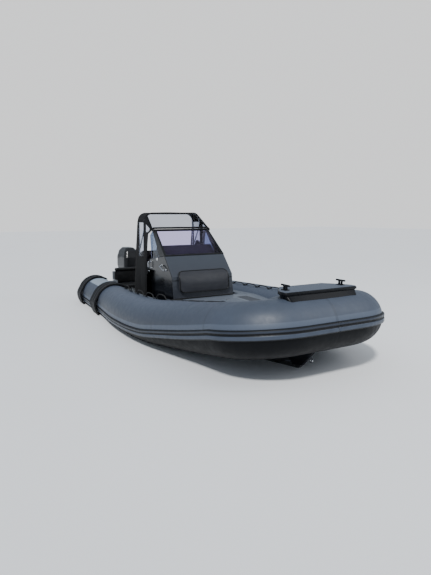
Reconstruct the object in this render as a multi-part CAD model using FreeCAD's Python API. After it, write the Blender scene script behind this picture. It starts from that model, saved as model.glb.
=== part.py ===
"""Rigid inflatable boat, about 7.6 m from its transom to its nose, afloat, with its outboard down.

Frame: X forward from the transom, Y to port, Z up from the waterline. All values are in millimetres.
"""
import FreeCAD
import Part
import math
import os

V = FreeCAD.Vector
X, Y, Z = V(1, 0, 0), V(0, 1, 0), V(0, 0, 1)
GLUE = 0.3                      # gap between curved faces that are bonded or rest on each other

# Buoyancy tube
TUBE_R = 345.0
NOSE_X = 7570.0                 # foremost point of the bow tube
TAIL_LENGTH = 440.0             # cone behind the last full section
TAIL_R = 185.0
TAIL_EDGE = 45.0
# Centreline of one side from tail to nose; columns x, half spread, height above water, and how much of the
# shorter run beside the point its bend takes up
TUBE_LINE = [
    (650.0, 1165.0, 240.0, 0.0),
    (2550.0, 1165.0, 240.0, 0.45),
    (3700.0, 1265.0, 280.0, 0.45),
    (4750.0, 1240.0, 325.0, 0.45),
    (6300.0, 980.0, 515.0, 0.45),
    (NOSE_X - TUBE_R, 880.0, 672.0, 0.55),
]
BOW_CHAMBER_X = 4300.0          # where the bow chamber meets the side chambers

# Rubbing strake: profile points, columns angle below the tube's equator in degrees, height over the skin
STRAKE_SKIN = 6.0
STRAKE_RIDGE = 26.0
STRAKE_GROOVE = 12.0
STRAKE_PROFILE = [
    (-5.0, STRAKE_SKIN), (-3.0, STRAKE_RIDGE), (2.5, STRAKE_RIDGE), (3.6, STRAKE_GROOVE),
    (5.6, STRAKE_GROOVE), (6.7, STRAKE_RIDGE), (15.0, STRAKE_RIDGE), (17.0, STRAKE_SKIN),
]

# Hull: columns x, keel height, chine half width, chine height, rail half width, rail height
HULL_STATIONS = [
    (0.0, -470.0, 880.0, -60.0, 960.0, 420.0),
    (2500.0, -470.0, 930.0, -50.0, 985.0, 440.0),
    (4300.0, -450.0, 900.0, 20.0, 1060.0, 520.0),
    (5500.0, -370.0, 740.0, 150.0, 940.0, 560.0),
    (6300.0, -240.0, 510.0, 250.0, 820.0, 600.0),
    (6880.0, -20.0, 270.0, 320.0, 800.0, 620.0),
    (7245.0, 372.0, 24.0, 410.0, 600.0, 620.0),
]
KEEL_FLAT = 22.0
CHINE_FLAT = 55.0
SPRAY_RAILS = (0.38, 0.70)      # places across the bottom panel, from keel to chine
SPRAY_RAIL = (46.0, 26.0)       # width and depth
SOLE_Z = 80.0
COCKPIT = (860.0, 4100.0, 790.0)        # aft end, forward end, half width
COCKPIT_CORNER = 60.0
FOREDECK_Z = 520.0
TRANSOM_Z = 285.0
TRANSOM_T = 62.0
WELL_Z = 175.0
WELL = (TRANSOM_T, 730.0, 520.0)        # splash well: aft end, forward end, half width
PLATFORM_Z = 300.0
PLATFORM_FRONT = 500.0
LID_GAP = 5.0
LID_T = 22.0
RIM = 25.0
FORE_HATCH = (4550.0, 5600.0, 430.0)    # aft edge, forward edge, half width
FORE_LOCKER_DEPTH = 330.0
ANCHOR_HATCH = (6000.0, 6400.0, 190.0)
ANCHOR_LOCKER_DEPTH = 280.0
PIN_R = 4.0
PIN_GRIP = 30.0                 # length of a hinge pin inside the piece that swings
RUN = 0.08                      # radial room round a pin or shaft

# Stem guard and towing eyes
STEM_GUARD_T = 7.0
STEM_GUARD_X = (6860.0, 7225.0)
STEM_GUARD_Z = (55.0, 345.0)
EYE_BORE_R = 13.0
EYE_R = 28.0
EYE_T = 14.0
BOW_EYE = V(7120.0, 0.0, 160.0)
STERN_EYES = [(-46.0, side * 700.0, 120.0) for side in (-1, 1)]

# Bow step: plan of one half, columns x, y; then the side outline, columns x, z
BOW_STEP_PLAN = [(6600.0, 400.0), (6760.0, 700.0), (6950.0, 745.0), (7120.0, 665.0), (7265.0, 540.0), (7440.0, 400.0)]
BOW_STEP_TOP = 1098.0
BOW_STEP_SIDE = [
    (6600.0, 800.0), (6600.0, 1078.0), (6625.0, BOW_STEP_TOP), (7283.0, BOW_STEP_TOP), (7310.0, 1084.0),
    (7310.0, 1062.0), (7296.0, 1052.0), (7415.0, 945.0), (7415.0, 800.0),
]
BOLLARD_PLACE = (7130.0, 435.0)         # x and half spread
BOLLARD_BAR = (75.0, 12.0, 58.0)        # half length, radius, height over the step

# Console
CONSOLE_HALF = 612.0
CONSOLE_WALL = 12.0
CONSOLE_EDGE = 14.0             # rounding along its upper and forward edges
CONSOLE_TOP = ((3010.0, 1150.0), (3790.0, 1268.0))
# Side outline of the console from the aft foot round to the front foot; columns x, z
CONSOLE_SIDE = [
    (2900.0, SOLE_Z), (2900.0, 900.0), CONSOLE_TOP[0], CONSOLE_TOP[1], (4120.0, 915.0),
    (4168.0, FOREDECK_Z), (4080.0, FOREDECK_Z), (4080.0, SOLE_Z),
]
CONSOLE_WAIST = (3760.0, 960.0, CONSOLE_HALF - 67.0)    # forward end, top and half width of the lower part
CONSOLE_DOOR = (250.0, 160.0, 720.0)    # half width, bottom and top of the opening in the aft face
DOOR_R = CONSOLE_WALL / 2
PAD_SIDE = [(4034.0, 1007.0), (4120.0, 915.0), (4155.4, 624.0), (4222.0, 640.0), (4204.0, 900.0), (4110.0, 1010.0)]
PAD_HALF = CONSOLE_HALF - 122.0
SCREEN_FOOT = V(CONSOLE_TOP[1][0], 0.0, CONSOLE_TOP[1][1])
SCREEN_TOP = V(3207.0, 0.0, 1732.0)
SCREEN_LEAN = 39.0                      # how far each side leans in towards the top
SCREEN_HALF = (CONSOLE_HALF, CONSOLE_HALF - SCREEN_LEAN)    # at foot and top
PANE_INSET = (40.0, 24.0, 36.0, 32.0)   # of the daylight opening: side and foot, then side and head
SCREEN_FRAME_T = 30.0
GLASS_T = 6.0
SIDE_FRAME_T = 52.0
SIDE_FRAME_FEET = (127.0, 230.0, 34.8)  # back from the screen's top and foot, and drop behind its foot
SIDE_PANE_INSET = 47.0                  # from the console's side in to the pane
SIDE_PANE_AFT = (3020.0, 2955.0, 1610.0)        # x at its foot, x and z of its upper aft corner
DASH_SIDE = [(3060.0, 0.0), (3200.0, 235.0), (3420.0, 215.0), (3640.0, 0.0)]    # x, height over the console top
DASH_HALF = CONSOLE_HALF - 92.0
WHEEL_PLACE = (0.55, 270.0)             # place up the helm face, and y
WHEEL_R = 180.0
WHEEL_RIM_R = 15.0
WHEEL_STANDOFF = 110.0
WHEEL_SHAFT_R = 12.0
THROTTLE_Y = -60.0
HANDLE_R = 12.0
HANDLE_OUT = 48.0
# Console handles, columns x and z of the two feet
HANDLES = [((3060.0, 1105.0), (3060.0, 985.0)), ((3640.0, 1080.0), (3830.0, 1010.0))]

# Canopy
HOOP_R = 12.5
HOOP_BEND = 150.0
HOOP_HALF = CONSOLE_HALF - 7.0
HOOP_X = (2420.0, 2760.0)
HOOP_TOP = 2028.0
HOOP_FORK = (1300.0, 1760.0)            # where the front hoop leaves the main one, and where it turns upright
CLOTH_T = 6.0
CLOTH_GAP = 0.5
ROOF_X = (2385.0, 2783.0)
ROOF_SKIRT_Z = 1872.0
CURTAIN_T = 4.5
# Outline and windows of a side curtain, columns x, z
CURTAIN = [
    (2060.0, 300.0), (2850.0, 300.0), (2905.0, 1150.0), (2950.0, 1400.0), (3000.0, 1640.0),
    (3150.0, 1690.0), (SCREEN_TOP.x, SCREEN_TOP.z + 1.0), (ROOF_X[1], 2040.0), (ROOF_X[1], ROOF_SKIRT_Z), (ROOF_X[0], ROOF_SKIRT_Z),
]
CURTAIN_WINDOWS = [
    [(2440.0, 1170.0), (2725.0, 1170.0), (2750.0, 1860.0), (2440.0, 1860.0)],
    [(2880.0, 1668.0), (2985.0, 1668.0), (3095.0, 1716.0), (3118.0, 1757.0), (2880.0, 1930.0)],
]

# Helm seat and aft bench
HELM_POD = (1950.0, 2330.0, 430.0, 760.0)       # aft, forward, half width, top
HELM_CUSHION = (1960.0, 2400.0, 425.0, 100.0)   # aft, forward, half width, thickness
HELM_BACK = [(1935.0, 860.0), (2015.0, 860.0), (1985.0, 1240.0), (1915.0, 1240.0)]
BENCH = (862.0, 1470.0, 785.0, 345.0)           # aft, forward, half width, top of the locker
BENCH_WALL = 15.0
BENCH_CHEEK = (745.0, 1200.0, 520.0)            # inner half width, forward end, top
BENCH_UPSTAND = (900.0, 700.0)                  # forward face, top
BENCH_SEAT = (1000.0, 1475.0, 740.0, 350.0, 430.0)     # aft, forward, half width, bottom, top
BENCH_HINGE = (1015.0, 415.0)
BENCH_BACK = [(900.0, 440.0), (985.0, 440.0), (965.0, 740.0), (900.0, 740.0)]
BENCH_ROLL = (942.0, 742.0, 42.0)

# Lines, pads and fenders on the tube
GRAB_FROM, GRAB_TO, GRAB_LOOPS = 2880.0, 6440.0, 8
GRAB_ANGLES = (-20.0, -13.0)            # from the tube's crest towards the cockpit, at a patch and mid loop
GRAB_PLACES = (0.06, 0.27)              # where a loop leaves its patch and where it stands highest, of its pitch
ROPE_R = 7.0
ROPE_UP = (12.0, 80.0)                  # height over the skin at a patch and mid loop
ROPE_BEND = 90.0
PATCH = (100.0, 62.0, 20.0)
PAD_SPAN = (1130.0, 1990.0, -30.0, 35.0)        # aft, forward, inner and outer angle from the crest
PAD_T = 4.0
FENDERS = [(760.0, 1080.0), (2040.0, 2440.0)]   # aft and forward end
FENDER_ANGLES = (-35.0, 70.0, 125.0)            # from the crest: inner end, where it passes on to the strake, foot
FENDER_T = 42.0
FENDER_OFF = 9.0                                # how far it hangs off the strake, at its aft end

# Outboard
TILT_AXIS = V(-20.0, 0.0, 345.0)
TILT_PIN_R = 16.0
STEER_X = -140.0
STEER_R = 24.0
BRACKET_Y = (95.0, 120.0)
BRACKET_SIDE = [
    (0.0, -90.0), (-55.0, -60.0), (-70.0, 250.0), (-62.0, 390.0), (22.0, 390.0), (95.0, 320.0),
    (95.0, TRANSOM_Z), (0.0, TRANSOM_Z),
]
SWIVEL_Z = (-90.0, 395.0)
SWIVEL_R = 48.0
# Leg sections from the pan down to the plate over the propeller; columns z, front x, back x, half width
LEG_SECTIONS = [
    (560.0, 95.0, -645.0, 210.0), (500.0, 50.0, -590.0, 175.0), (440.0, -196.0, -470.0, 100.0),
    (-60.0, -196.0, -440.0, 80.0), (-430.0, -200.0, -420.0, 45.0),
]
PLATE_Z = -430.0
GEAR_Z = -630.0
GEAR_R = 62.0
SKEG_Z = -840.0
PROP_R = 185.0
PROP_X = (-640.0, -535.0)
PROP_PITCH = 480.0
PROP_BLADES = 3
PROP_HUB_R = 50.0
PROP_SHAFT_R = 16.0
# Cowl sections; columns z, front x, back x, half width, corner radius
COWL_SECTIONS = [
    (560.0, 90.0, -640.0, 205.0, 100.0), (700.0, 102.0, -680.0, 225.0, 110.0),
    (930.0, 85.0, -690.0, 215.0, 105.0), (1090.0, 10.0, -640.0, 170.0, 90.0), (1170.0, -110.0, -560.0, 105.0, 70.0),
]
COWL_WALL = 12.0
ENGINE = (-520.0, -20.0, 150.0, 1000.0)         # aft, forward, half width, top


def solid_of(shape):
    """The shape itself, cleaned of seams that a fuse leaves."""
    return shape.removeSplitter()


def box(x0, x1, y0, y1, z0, z1):
    return Part.makeBox(x1 - x0, y1 - y0, z1 - z0, V(x0, y0, z0))


def round_box(x0, x1, y0, y1, z0, z1, radius, edges="all"):
    """A box with rounded edges: all of them, or only those that stand upright."""
    b = box(x0, x1, y0, y1, z0, z1)
    if edges == "upright":
        chosen = [e for e in b.Edges if abs(e.tangentAt(e.FirstParameter).z) > 0.9]
    else:
        chosen = b.Edges
    return b.makeFillet(radius, chosen)


def cylinder(a, b, radius):
    d = b - a
    return Part.makeCylinder(radius, d.Length, a, d)


def mirror_y(shape):
    return shape.mirror(V(0, 0, 0), Y)


def both_sides(shape):
    return Part.makeCompound([shape, mirror_y(shape)])


def prism_y(points, half):
    """Extrudes an outline in the XZ plane to +-half across the boat."""
    pts = [V(x, -half, z) for x, z in points]
    return Part.Face(Part.makePolygon(pts + [pts[0]])).extrude(V(0, 2 * half, 0))


def prism_z(points, z0, z1):
    """Extrudes an outline in the XY plane from z0 to z1."""
    pts = [V(x, y, z0) for x, y in points]
    return Part.Face(Part.makePolygon(pts + [pts[0]])).extrude(V(0, 0, z1 - z0))


def bent_path(points, shares=None, radius=None):
    """Straight runs joined by tangent arcs: a list of ("run", vector) and ("bend", centre, axis, degrees).

    Every bend has the one radius, or takes its own share of the shorter run beside it."""
    pieces = []
    at = points[0]
    for i in range(1, len(points) - 1):
        before, corner, after = points[i - 1:i + 2]
        u, w = (corner - before), (after - corner)
        short = min(u.Length, w.Length)
        u.normalize()
        w.normalize()
        turn = u.getAngle(w)
        tangent = shares[i] * short if radius is None else radius * math.tan(turn / 2)
        start, end = corner - u * tangent, corner + w * tangent
        if (start - at).Length > GLUE:
            pieces.append(("run", start - at))
        axis = u.cross(w)
        axis.normalize()
        centre = start + axis.cross(u) * (tangent / math.tan(turn / 2))
        pieces.append(("bend", centre, axis, math.degrees(turn)))
        at = end
    pieces.append(("run", points[-1] - at))
    return pieces


def sweep(face, path):
    """Carries a face along runs and bends and returns the solids and the face at the end."""
    solids = []
    for piece in path:
        moved = face.copy()
        if piece[0] == "run":
            solids.append(face.extrude(piece[1]))
            moved.translate(piece[1])
        else:
            _, centre, axis, degrees = piece
            solids.append(face.revolve(centre, axis, degrees))
            moved.rotate(centre, axis, degrees)
        face = moved
    return solids, face


def fused(solids):
    return solid_of(solids[0].multiFuse(solids[1:])) if len(solids) > 1 else solids[0]


def round_bar(points, radius, bend):
    """A round bar or pipe through points, with every bend of one radius."""
    start = points[0]
    face = Part.Face(Part.Wire(Part.makeCircle(radius, start, points[1] - start)))
    return fused(sweep(face, bent_path(points, radius=bend))[0])


def tube_points(side):
    """Centreline from the nose to the last full section on one side: -1 starboard, 1 port."""
    nose = [V(TUBE_LINE[-1][0], 0, TUBE_LINE[-1][2])]
    return nose + [V(x, side * y, z) for x, y, z, _ in reversed(TUBE_LINE)]


def tube_path(side):
    """The same centreline as runs and bends."""
    return bent_path(tube_points(side), [0.0] + [share for *_, share in reversed(TUBE_LINE)])


def tube_half(side, radius):
    """One half of the tube from the nose to the last full section."""
    points = tube_points(side)
    face = Part.Face(Part.Wire(Part.makeCircle(radius, points[0], points[1] - points[0])))
    return sweep(face, tube_path(side))[0]


def tail_cone(side, grow=0.0):
    """The cone that closes the tube aft, with a rounded rim and a flat end."""
    points = tube_points(side)
    start, back = points[-1], points[-1] - points[-2]
    back.normalize()
    r, t = TUBE_R + grow, TAIL_R + grow
    edge, length = TAIL_EDGE, TAIL_LENGTH + grow
    outline = [
        Part.LineSegment(V(0, 0, 0), V(r, 0, 0)),
        Part.LineSegment(V(r, 0, 0), V(t, 0, length - edge)),
        Part.Arc(V(t, 0, length - edge), V(t - edge * 0.25, 0, length - edge * 0.22), V(t - edge, 0, length)),
        Part.LineSegment(V(t - edge, 0, length), V(0, 0, length)),
        Part.LineSegment(V(0, 0, length), V(0, 0, 0)),
    ]
    cone = Part.Face(Part.Wire([s.toShape() for s in outline])).revolve(V(0, 0, 0), Z, 360)
    turn = FreeCAD.Rotation(Z, back)
    cone.Placement = FreeCAD.Placement(start, turn)
    return cone


def tube_chambers():
    """Starboard, bow and port chambers. Each is closed by a flat bulkhead at BOW_CHAMBER_X."""
    halves = {s: fused(tube_half(s, TUBE_R) + [tail_cone(s)]) for s in (-1, 1)}
    behind = box(-1000, BOW_CHAMBER_X, -3000, 3000, -2000, 3000)
    ahead = box(BOW_CHAMBER_X, NOSE_X + 1000, -3000, 3000, -2000, 3000)
    bow = halves[-1].common(ahead).fuse(halves[1].common(ahead))
    return {
        "tube_starboard": halves[-1].common(behind),
        "tube_bow": solid_of(bow),
        "tube_port": halves[1].common(behind),
    }


def tube_clearance():
    """The whole tube grown by the glue gap, for cutting what it is bonded to."""
    parts = []
    for s in (-1, 1):
        parts += tube_half(s, TUBE_R + GLUE) + [tail_cone(s, GLUE)]
    return fused(parts)


def strake(side):
    """The two-ridge rubbing strake of one side, from the nose to the tail cone."""
    nose = tube_points(side)[0]
    outer, inner = [], []
    for angle, height in STRAKE_PROFILE:
        a = math.radians(angle)
        outer.append(nose + V(math.cos(a), 0, -math.sin(a)) * (TUBE_R + height))
    for angle in (STRAKE_PROFILE[-1][0], (STRAKE_PROFILE[-1][0] + STRAKE_PROFILE[0][0]) / 2, STRAKE_PROFILE[0][0]):
        a = math.radians(angle)
        inner.append(nose + V(math.cos(a), 0, -math.sin(a)) * (TUBE_R + GLUE))
    edges = [Part.LineSegment(a, b).toShape() for a, b in zip(outer, outer[1:])]
    edges.append(Part.LineSegment(outer[-1], inner[0]).toShape())
    edges.append(Part.Arc(*inner).toShape())
    edges.append(Part.LineSegment(inner[-1], outer[0]).toShape())
    return fused(sweep(Part.Face(Part.Wire(edges)), tube_path(side))[0])


def hull_section(x, keel, chine_y, chine_z, rail_y, rail_z):
    half = [
        V(x, KEEL_FLAT, keel), V(x, chine_y - CHINE_FLAT * chine_y / 900.0, chine_z), V(x, chine_y, chine_z),
        V(x, rail_y, rail_z),
    ]
    pts = half + [V(p.x, -p.y, p.z) for p in reversed(half)]
    return Part.makePolygon(pts + [pts[0]])


def spray_rail(place, side):
    """A wedge along the bottom panel, embedded a little in the hull."""
    wide, deep = SPRAY_RAIL
    rows = []
    for i, (x, keel, chine_y, chine_z, _, _) in enumerate(HULL_STATIONS[:6]):
        shrink = 1.0 if i < 4 else 0.5 if i == 4 else 0.12
        reach = chine_y - CHINE_FLAT * chine_y / 900.0 - KEEL_FLAT
        rise = (chine_z - keel) / reach
        y, z = KEEL_FLAT + place * reach, keel + place * (chine_z - keel)
        w, d = wide * shrink, deep * shrink
        pts = [V(x, y - w, z - w * rise + 4), V(x, y, z - d), V(x, y + 4, z - d), V(x, y + 4, z + 12)]
        pts = [V(p.x, side * p.y, p.z) for p in pts]
        rows.append(Part.makePolygon(pts + [pts[0]]))
    return Part.makeLoft(rows, True, True)


def stub_pins(axis_from, axis_to, inside, outside, radius=PIN_R):
    """Two short pins on one axis, which stick `inside` into the swinging piece and `outside` into its seat."""
    along = axis_to - axis_from
    along.normalize()
    pins = cylinder(axis_from - along * outside, axis_from + along * inside, radius)
    return pins.fuse(cylinder(axis_to - along * inside, axis_to + along * outside, radius))


def hatch_axis(hatch):
    """The two ends of a deck lid's hinge axis, at the lid's own sides."""
    _, b, half = hatch
    x, z = b - LID_GAP - LID_T / 2, FOREDECK_Z - LID_T / 2
    return V(x, -half + LID_GAP, z), V(x, half - LID_GAP, z)


def hull(clearance):
    """Deep-V hull with its cockpit, splash well, platforms, foredeck and two lockers, all in one."""
    body = Part.makeLoft([hull_section(*row) for row in HULL_STATIONS], True, True)
    body = body.fuse([spray_rail(p, s) for p in SPRAY_RAILS for s in (-1, 1)])
    top = 2000.0
    x0, x1, half = COCKPIT
    body = body.cut(round_box(x0, x1, -half, half, SOLE_Z, top, COCKPIT_CORNER, "upright"))
    x0, x1, half = WELL
    body = body.cut(box(x0, x1, -half, half, WELL_Z, top))
    body = body.cut(box(-200, x0 + 1, -half, half, TRANSOM_Z, top))
    body = body.cut(box(-200, PLATFORM_FRONT, -1500, 1500, PLATFORM_Z, top))
    body = body.cut(box(COCKPIT[1], NOSE_X, -1500, 1500, FOREDECK_Z, top))
    for hatch, depth in ((FORE_HATCH, FORE_LOCKER_DEPTH), (ANCHOR_HATCH, ANCHOR_LOCKER_DEPTH)):
        a, b, half = hatch
        body = body.cut(box(a, b, -half, half, FOREDECK_Z - LID_T - LID_GAP, top))
        body = body.cut(box(a + RIM, b - RIM, -half + RIM, half - RIM, FOREDECK_Z - depth, top))
        body = body.fuse(stub_pins(*hatch_axis(hatch), PIN_GRIP, LID_GAP + 15.0))
    return solid_of(body.cut(clearance))


def hull_mouldings(body):
    """The hull split along the sole's plane and the cockpit's two ends."""
    aft, ahead, _ = COCKPIT
    low, high, wide = -1000.0, 2000.0, 2000.0
    rooms = {
        "hull_shell": box(-200, NOSE_X, -wide, wide, low, SOLE_Z),
        "stern_block": box(-200, aft, -wide, wide, SOLE_Z, high),
        "side_decks": box(aft, ahead, -wide, wide, SOLE_Z, high),
        "foredeck": box(ahead, NOSE_X, -wide, wide, SOLE_Z, high),
    }
    return {name: solid_of(body.common(room)) for name, room in rooms.items()}


def hatch_lid(hatch):
    """A flush deck lid whose forward edge is rounded about its own hinge axis."""
    a, b, half = hatch
    lid = box(a + LID_GAP, b - LID_GAP, -half + LID_GAP, half - LID_GAP, FOREDECK_Z - LID_T, FOREDECK_Z)
    hinge_edges = [e for e in lid.Edges if abs(e.tangentAt(0).y) > 0.9 and e.Vertexes[0].X > b - LID_GAP - 1]
    lid = lid.makeFillet(LID_T / 2 - 0.01, hinge_edges)
    return lid.cut(stub_pins(*hatch_axis(hatch), PIN_GRIP + 1.0, 10.0, PIN_R + RUN))


def stem_guard(clearance, solid_hull):
    """The metal shoe over the stem: the hull's own form grown a little, less the hull."""
    t = STEM_GUARD_T
    grown = [hull_section(x, k - 1.6 * t, cy + t, cz, ry + t, rz) for x, k, cy, cz, ry, rz in HULL_STATIONS[4:]]
    shoe = Part.makeLoft(grown, True, True)
    shoe = shoe.common(box(*STEM_GUARD_X, -400, 400, *STEM_GUARD_Z))
    return max(shoe.cut(solid_hull).cut(clearance).Solids, key=lambda solid: solid.Volume)


def eye(centre, towards, block):
    """A towing eye: a ring with a bore across the boat, and a root that runs `block` towards its seat."""
    ring = cylinder(centre - Y * (EYE_T / 2), centre + Y * (EYE_T / 2), EYE_R)
    root = Part.makeBox(block, EYE_T, 2 * EYE_R, V(0, -EYE_T / 2, -EYE_R))
    root.Placement = FreeCAD.Placement(centre, FreeCAD.Rotation(X, towards))
    return ring.fuse(root).cut(cylinder(centre - Y * 40, centre + Y * 40, EYE_BORE_R))


def towing_eyes(solid_hull, guard):
    """The eye at the stem and the two on the transom."""
    back = V(-0.6206, 0, 0.784)
    made = [eye(BOW_EYE, back, 90.0).cut(solid_hull).cut(guard)]
    for x, y, z in STERN_EYES:
        ring = eye(V(x, y, z), X, -x)
        plate = round_box(-8.0, 0.0, y - 40, y + 40, z - 45, z + 45, 3.0)
        made.append(ring.fuse(plate))
    return Part.makeCompound(made)


def station(side, s):
    """Centre, tangent and outboard direction of the tube at a distance s back from the nose."""
    points = tube_points(side)
    at, left = points[0], s
    ahead = points[1] - points[0]
    ahead.normalize()
    for piece in tube_path(side):
        if piece[0] == "run":
            length = piece[1].Length
            if left <= length:
                at = at + ahead * left
                left = -1.0
                break
            at, left = at + piece[1], left - length
        else:
            _, centre, axis, degrees = piece
            length = (at - centre).Length * math.radians(degrees)
            part = min(1.0, left / length)
            turn = FreeCAD.Rotation(axis, degrees * part)
            at = centre + turn.multVec(at - centre)
            ahead = turn.multVec(ahead)
            left -= length
            if left <= 0:
                break
    out = Z.cross(ahead) * (-side)
    out.normalize()
    return at, ahead, out


def station_at(side, x):
    """The station whose centre lies at x, found by halving."""
    low, high = 200.0, 7200.0
    for _ in range(40):
        mid = (low + high) / 2
        if station(side, mid)[0].x > x:
            low = mid
        else:
            high = mid
    return low


def on_tube(side, s, angle, height):
    """A point over the tube's skin, with the directions along, across and away from the skin."""
    at, ahead, out = station(side, s)
    up = out.cross(ahead) * side
    if up.z < 0:
        up = up * -1
    a = math.radians(angle)
    away = up * math.cos(a) + out * math.sin(a)
    across = ahead.cross(away)
    return at + away * (TUBE_R + height), ahead, across, away


def block(centre, ex, ey, ez, lx, ly, lz):
    """A box of the given lengths along three directions, its middle at centre."""
    b = Part.makeBox(lx, ly, lz, V(-lx / 2, -ly / 2, -lz / 2))
    m = FreeCAD.Matrix(ex.x, ey.x, ez.x, centre.x, ex.y, ey.y, ez.y, centre.y, ex.z, ey.z, ez.z, centre.z, 0, 0, 0, 1)
    b.Placement = FreeCAD.Placement(m)
    return b


def grab_line(side, clearance):
    """Stiff rope loops along the cockpit side of the tube's crest, between patches."""
    first, last = station_at(side, GRAB_TO), station_at(side, GRAB_FROM)
    step = (last - first) / GRAB_LOOPS
    pieces = []
    for i in range(GRAB_LOOPS + 1):
        at, along, across, away = on_tube(side, first + i * step, GRAB_ANGLES[0], PATCH[2] / 2)
        pieces.append(block(at, along, across, away, PATCH[0], PATCH[1], PATCH[2] + 12.0).cut(clearance))
    leave, crown = GRAB_PLACES
    for i in range(GRAB_LOOPS):
        s = first + i * step
        ends = [on_tube(side, s + k * step, GRAB_ANGLES[0], ROPE_UP[0])[0] for k in (leave, 1 - leave)]
        high = [on_tube(side, s + k * step, GRAB_ANGLES[1], ROPE_UP[1])[0] for k in (crown, 1 - crown)]
        pieces.append(round_bar([ends[0], high[0], high[1], ends[1]], ROPE_R, ROPE_BEND))
    return pieces[0].multiFuse(pieces[1:])


def wrap(side, x0, x1, angle0, angle1, low, high):
    """A sheet round the straight aft part of the tube, between two angles from the crest."""
    _, y, z, _ = TUBE_LINE[0]
    centre = V(0, side * y, z)
    pts = [V(x, side * y, z + h) for x, h in ((x0, TUBE_R + low), (x1, TUBE_R + low), (x1, TUBE_R + high),
                                              (x0, TUBE_R + high))]
    face = Part.Face(Part.makePolygon(pts + [pts[0]]))
    face.rotate(centre, X, -side * angle0)
    return face.revolve(centre, X * -side, angle1 - angle0)


def tube_pads():
    x0, x1, inner, outer = PAD_SPAN
    return Part.makeCompound([wrap(s, x0, x1, inner, outer, GLUE, PAD_T) for s in (-1, 1)])


def fenders(clearance):
    """Flat fenders laid over the starboard tube, whose outer ends hang down over the strake."""
    inner, mid, outer = FENDER_ANGLES
    over = STRAKE_RIDGE + FENDER_OFF
    made = []
    for x0, x1 in FENDERS:
        top = wrap(-1, x0, x1, inner, mid, 0.6, FENDER_T)
        low = wrap(-1, x0, x1, mid - 4, outer, over, over + FENDER_T)
        made.append(solid_of(top.fuse(low)).cut(clearance))
    return Part.makeCompound(made)


def bow_step(clearance):
    half = BOW_STEP_PLAN
    plan = half + [(x, -y) for x, y in reversed(half)]
    step = prism_y(BOW_STEP_SIDE, 900.0).common(prism_z(plan, 700.0, 1200.0))
    return step.cut(clearance)


def bow_bollards():
    """A horned bollard on each side of the bow step."""
    x, y = BOLLARD_PLACE
    z = BOW_STEP_TOP
    reach, r, up = BOLLARD_BAR
    made = round_box(x - 45, x + 45, y - 30, y + 30, z, z + 10, 3.0, "upright")
    for dx in (-22.0, 22.0):
        made = made.fuse(Part.makeCylinder(r + 2, up, V(x + dx, y, z)))
    made = made.fuse(cylinder(V(x - reach, y, z + up), V(x + reach, y, z + up), r))
    return both_sides(solid_of(made))


def face_xz(points, y=0.0):
    pts = [V(x, y, z) for x, z in points]
    return Part.Face(Part.makePolygon(pts + [pts[0]]))


def helm_place(place, y, out):
    """A point over the sloped helm face: place runs from 0 at its foot to 1 at its head."""
    foot, head = V(CONSOLE_SIDE[1][0], y, CONSOLE_SIDE[1][1]), V(CONSOLE_TOP[0][0], y, CONSOLE_TOP[0][1])
    up = head - foot
    at = foot + up * place
    up.normalize()
    away = up.cross(Y)
    if away.x > 0:
        away = away * -1
    return at + away * out, up, away


def door_axis():
    half, z0, z1 = CONSOLE_DOOR
    x, y = CONSOLE_SIDE[0][0] + DOOR_R, half - LID_GAP - DOOR_R
    return V(x, y, z0 + LID_GAP), V(x, y, z1 - LID_GAP)


def console_shell():
    """Hollow console: full width at its front and top, narrow at the waist, with a door opening aft."""
    outline = face_xz(CONSOLE_SIDE)
    inner = outline.makeOffset2D(-CONSOLE_WALL)
    x1, z1, half = CONSOLE_WAIST
    w = CONSOLE_WALL
    outer = prism_y(CONSOLE_SIDE, CONSOLE_HALF)
    ridge = [V(x, CONSOLE_HALF, z) for x, z in CONSOLE_SIDE[1:6]]
    middles = [(a + b) * 0.5 for a, b in zip(ridge, ridge[1:])]
    edges = [e for e in outer.Edges if any(
        (e.CenterOfMass - V(m.x, s * m.y, m.z)).Length < 1 for m in middles for s in (-1, 1))]
    outer = outer.makeFillet(CONSOLE_EDGE, edges)
    room = inner.copy()
    room.translate(V(0, -CONSOLE_HALF + w, 0))
    room = room.extrude(V(0, 2 * (CONSOLE_HALF - w), 0))
    for s in (-1, 1):
        ya, yb = sorted((s * half, s * 900))
        outer = outer.cut(box(2000, x1, ya, yb, 0, z1))
        ya, yb = sorted((s * (half - w), s * 900))
        room = room.cut(box(2000, x1 + w, ya, yb, 0, z1 + w))
    shell = outer.cut(room)
    edge, z0, z1 = CONSOLE_DOOR
    shell = shell.cut(box(2880, 2900 + 2 * w, -edge, edge, z0, z1))
    shell = shell.fuse(stub_pins(*door_axis(), 22.0, LID_GAP + 12.0, 2.5))
    at, _, away = helm_place(*WHEEL_PLACE, -CONSOLE_WALL / 2)
    shaft = cylinder(at, at + away * (WHEEL_STANDOFF + CONSOLE_WALL / 2 - 15), WHEEL_SHAFT_R)
    return shell.fuse(shaft)


def console_door():
    half, z0, z1 = CONSOLE_DOOR
    x = CONSOLE_SIDE[0][0]
    door = box(x, x + 2 * DOOR_R, -half + LID_GAP, half - LID_GAP, z0 + LID_GAP, z1 - LID_GAP)
    edges = [e for e in door.Edges if abs(e.tangentAt(0).z) > 0.9 and e.Vertexes[0].Y > 0]
    door = door.makeFillet(DOOR_R - 0.01, edges)
    return door.cut(stub_pins(*door_axis(), 23.0, 5.0, 2.5 + RUN))


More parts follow.
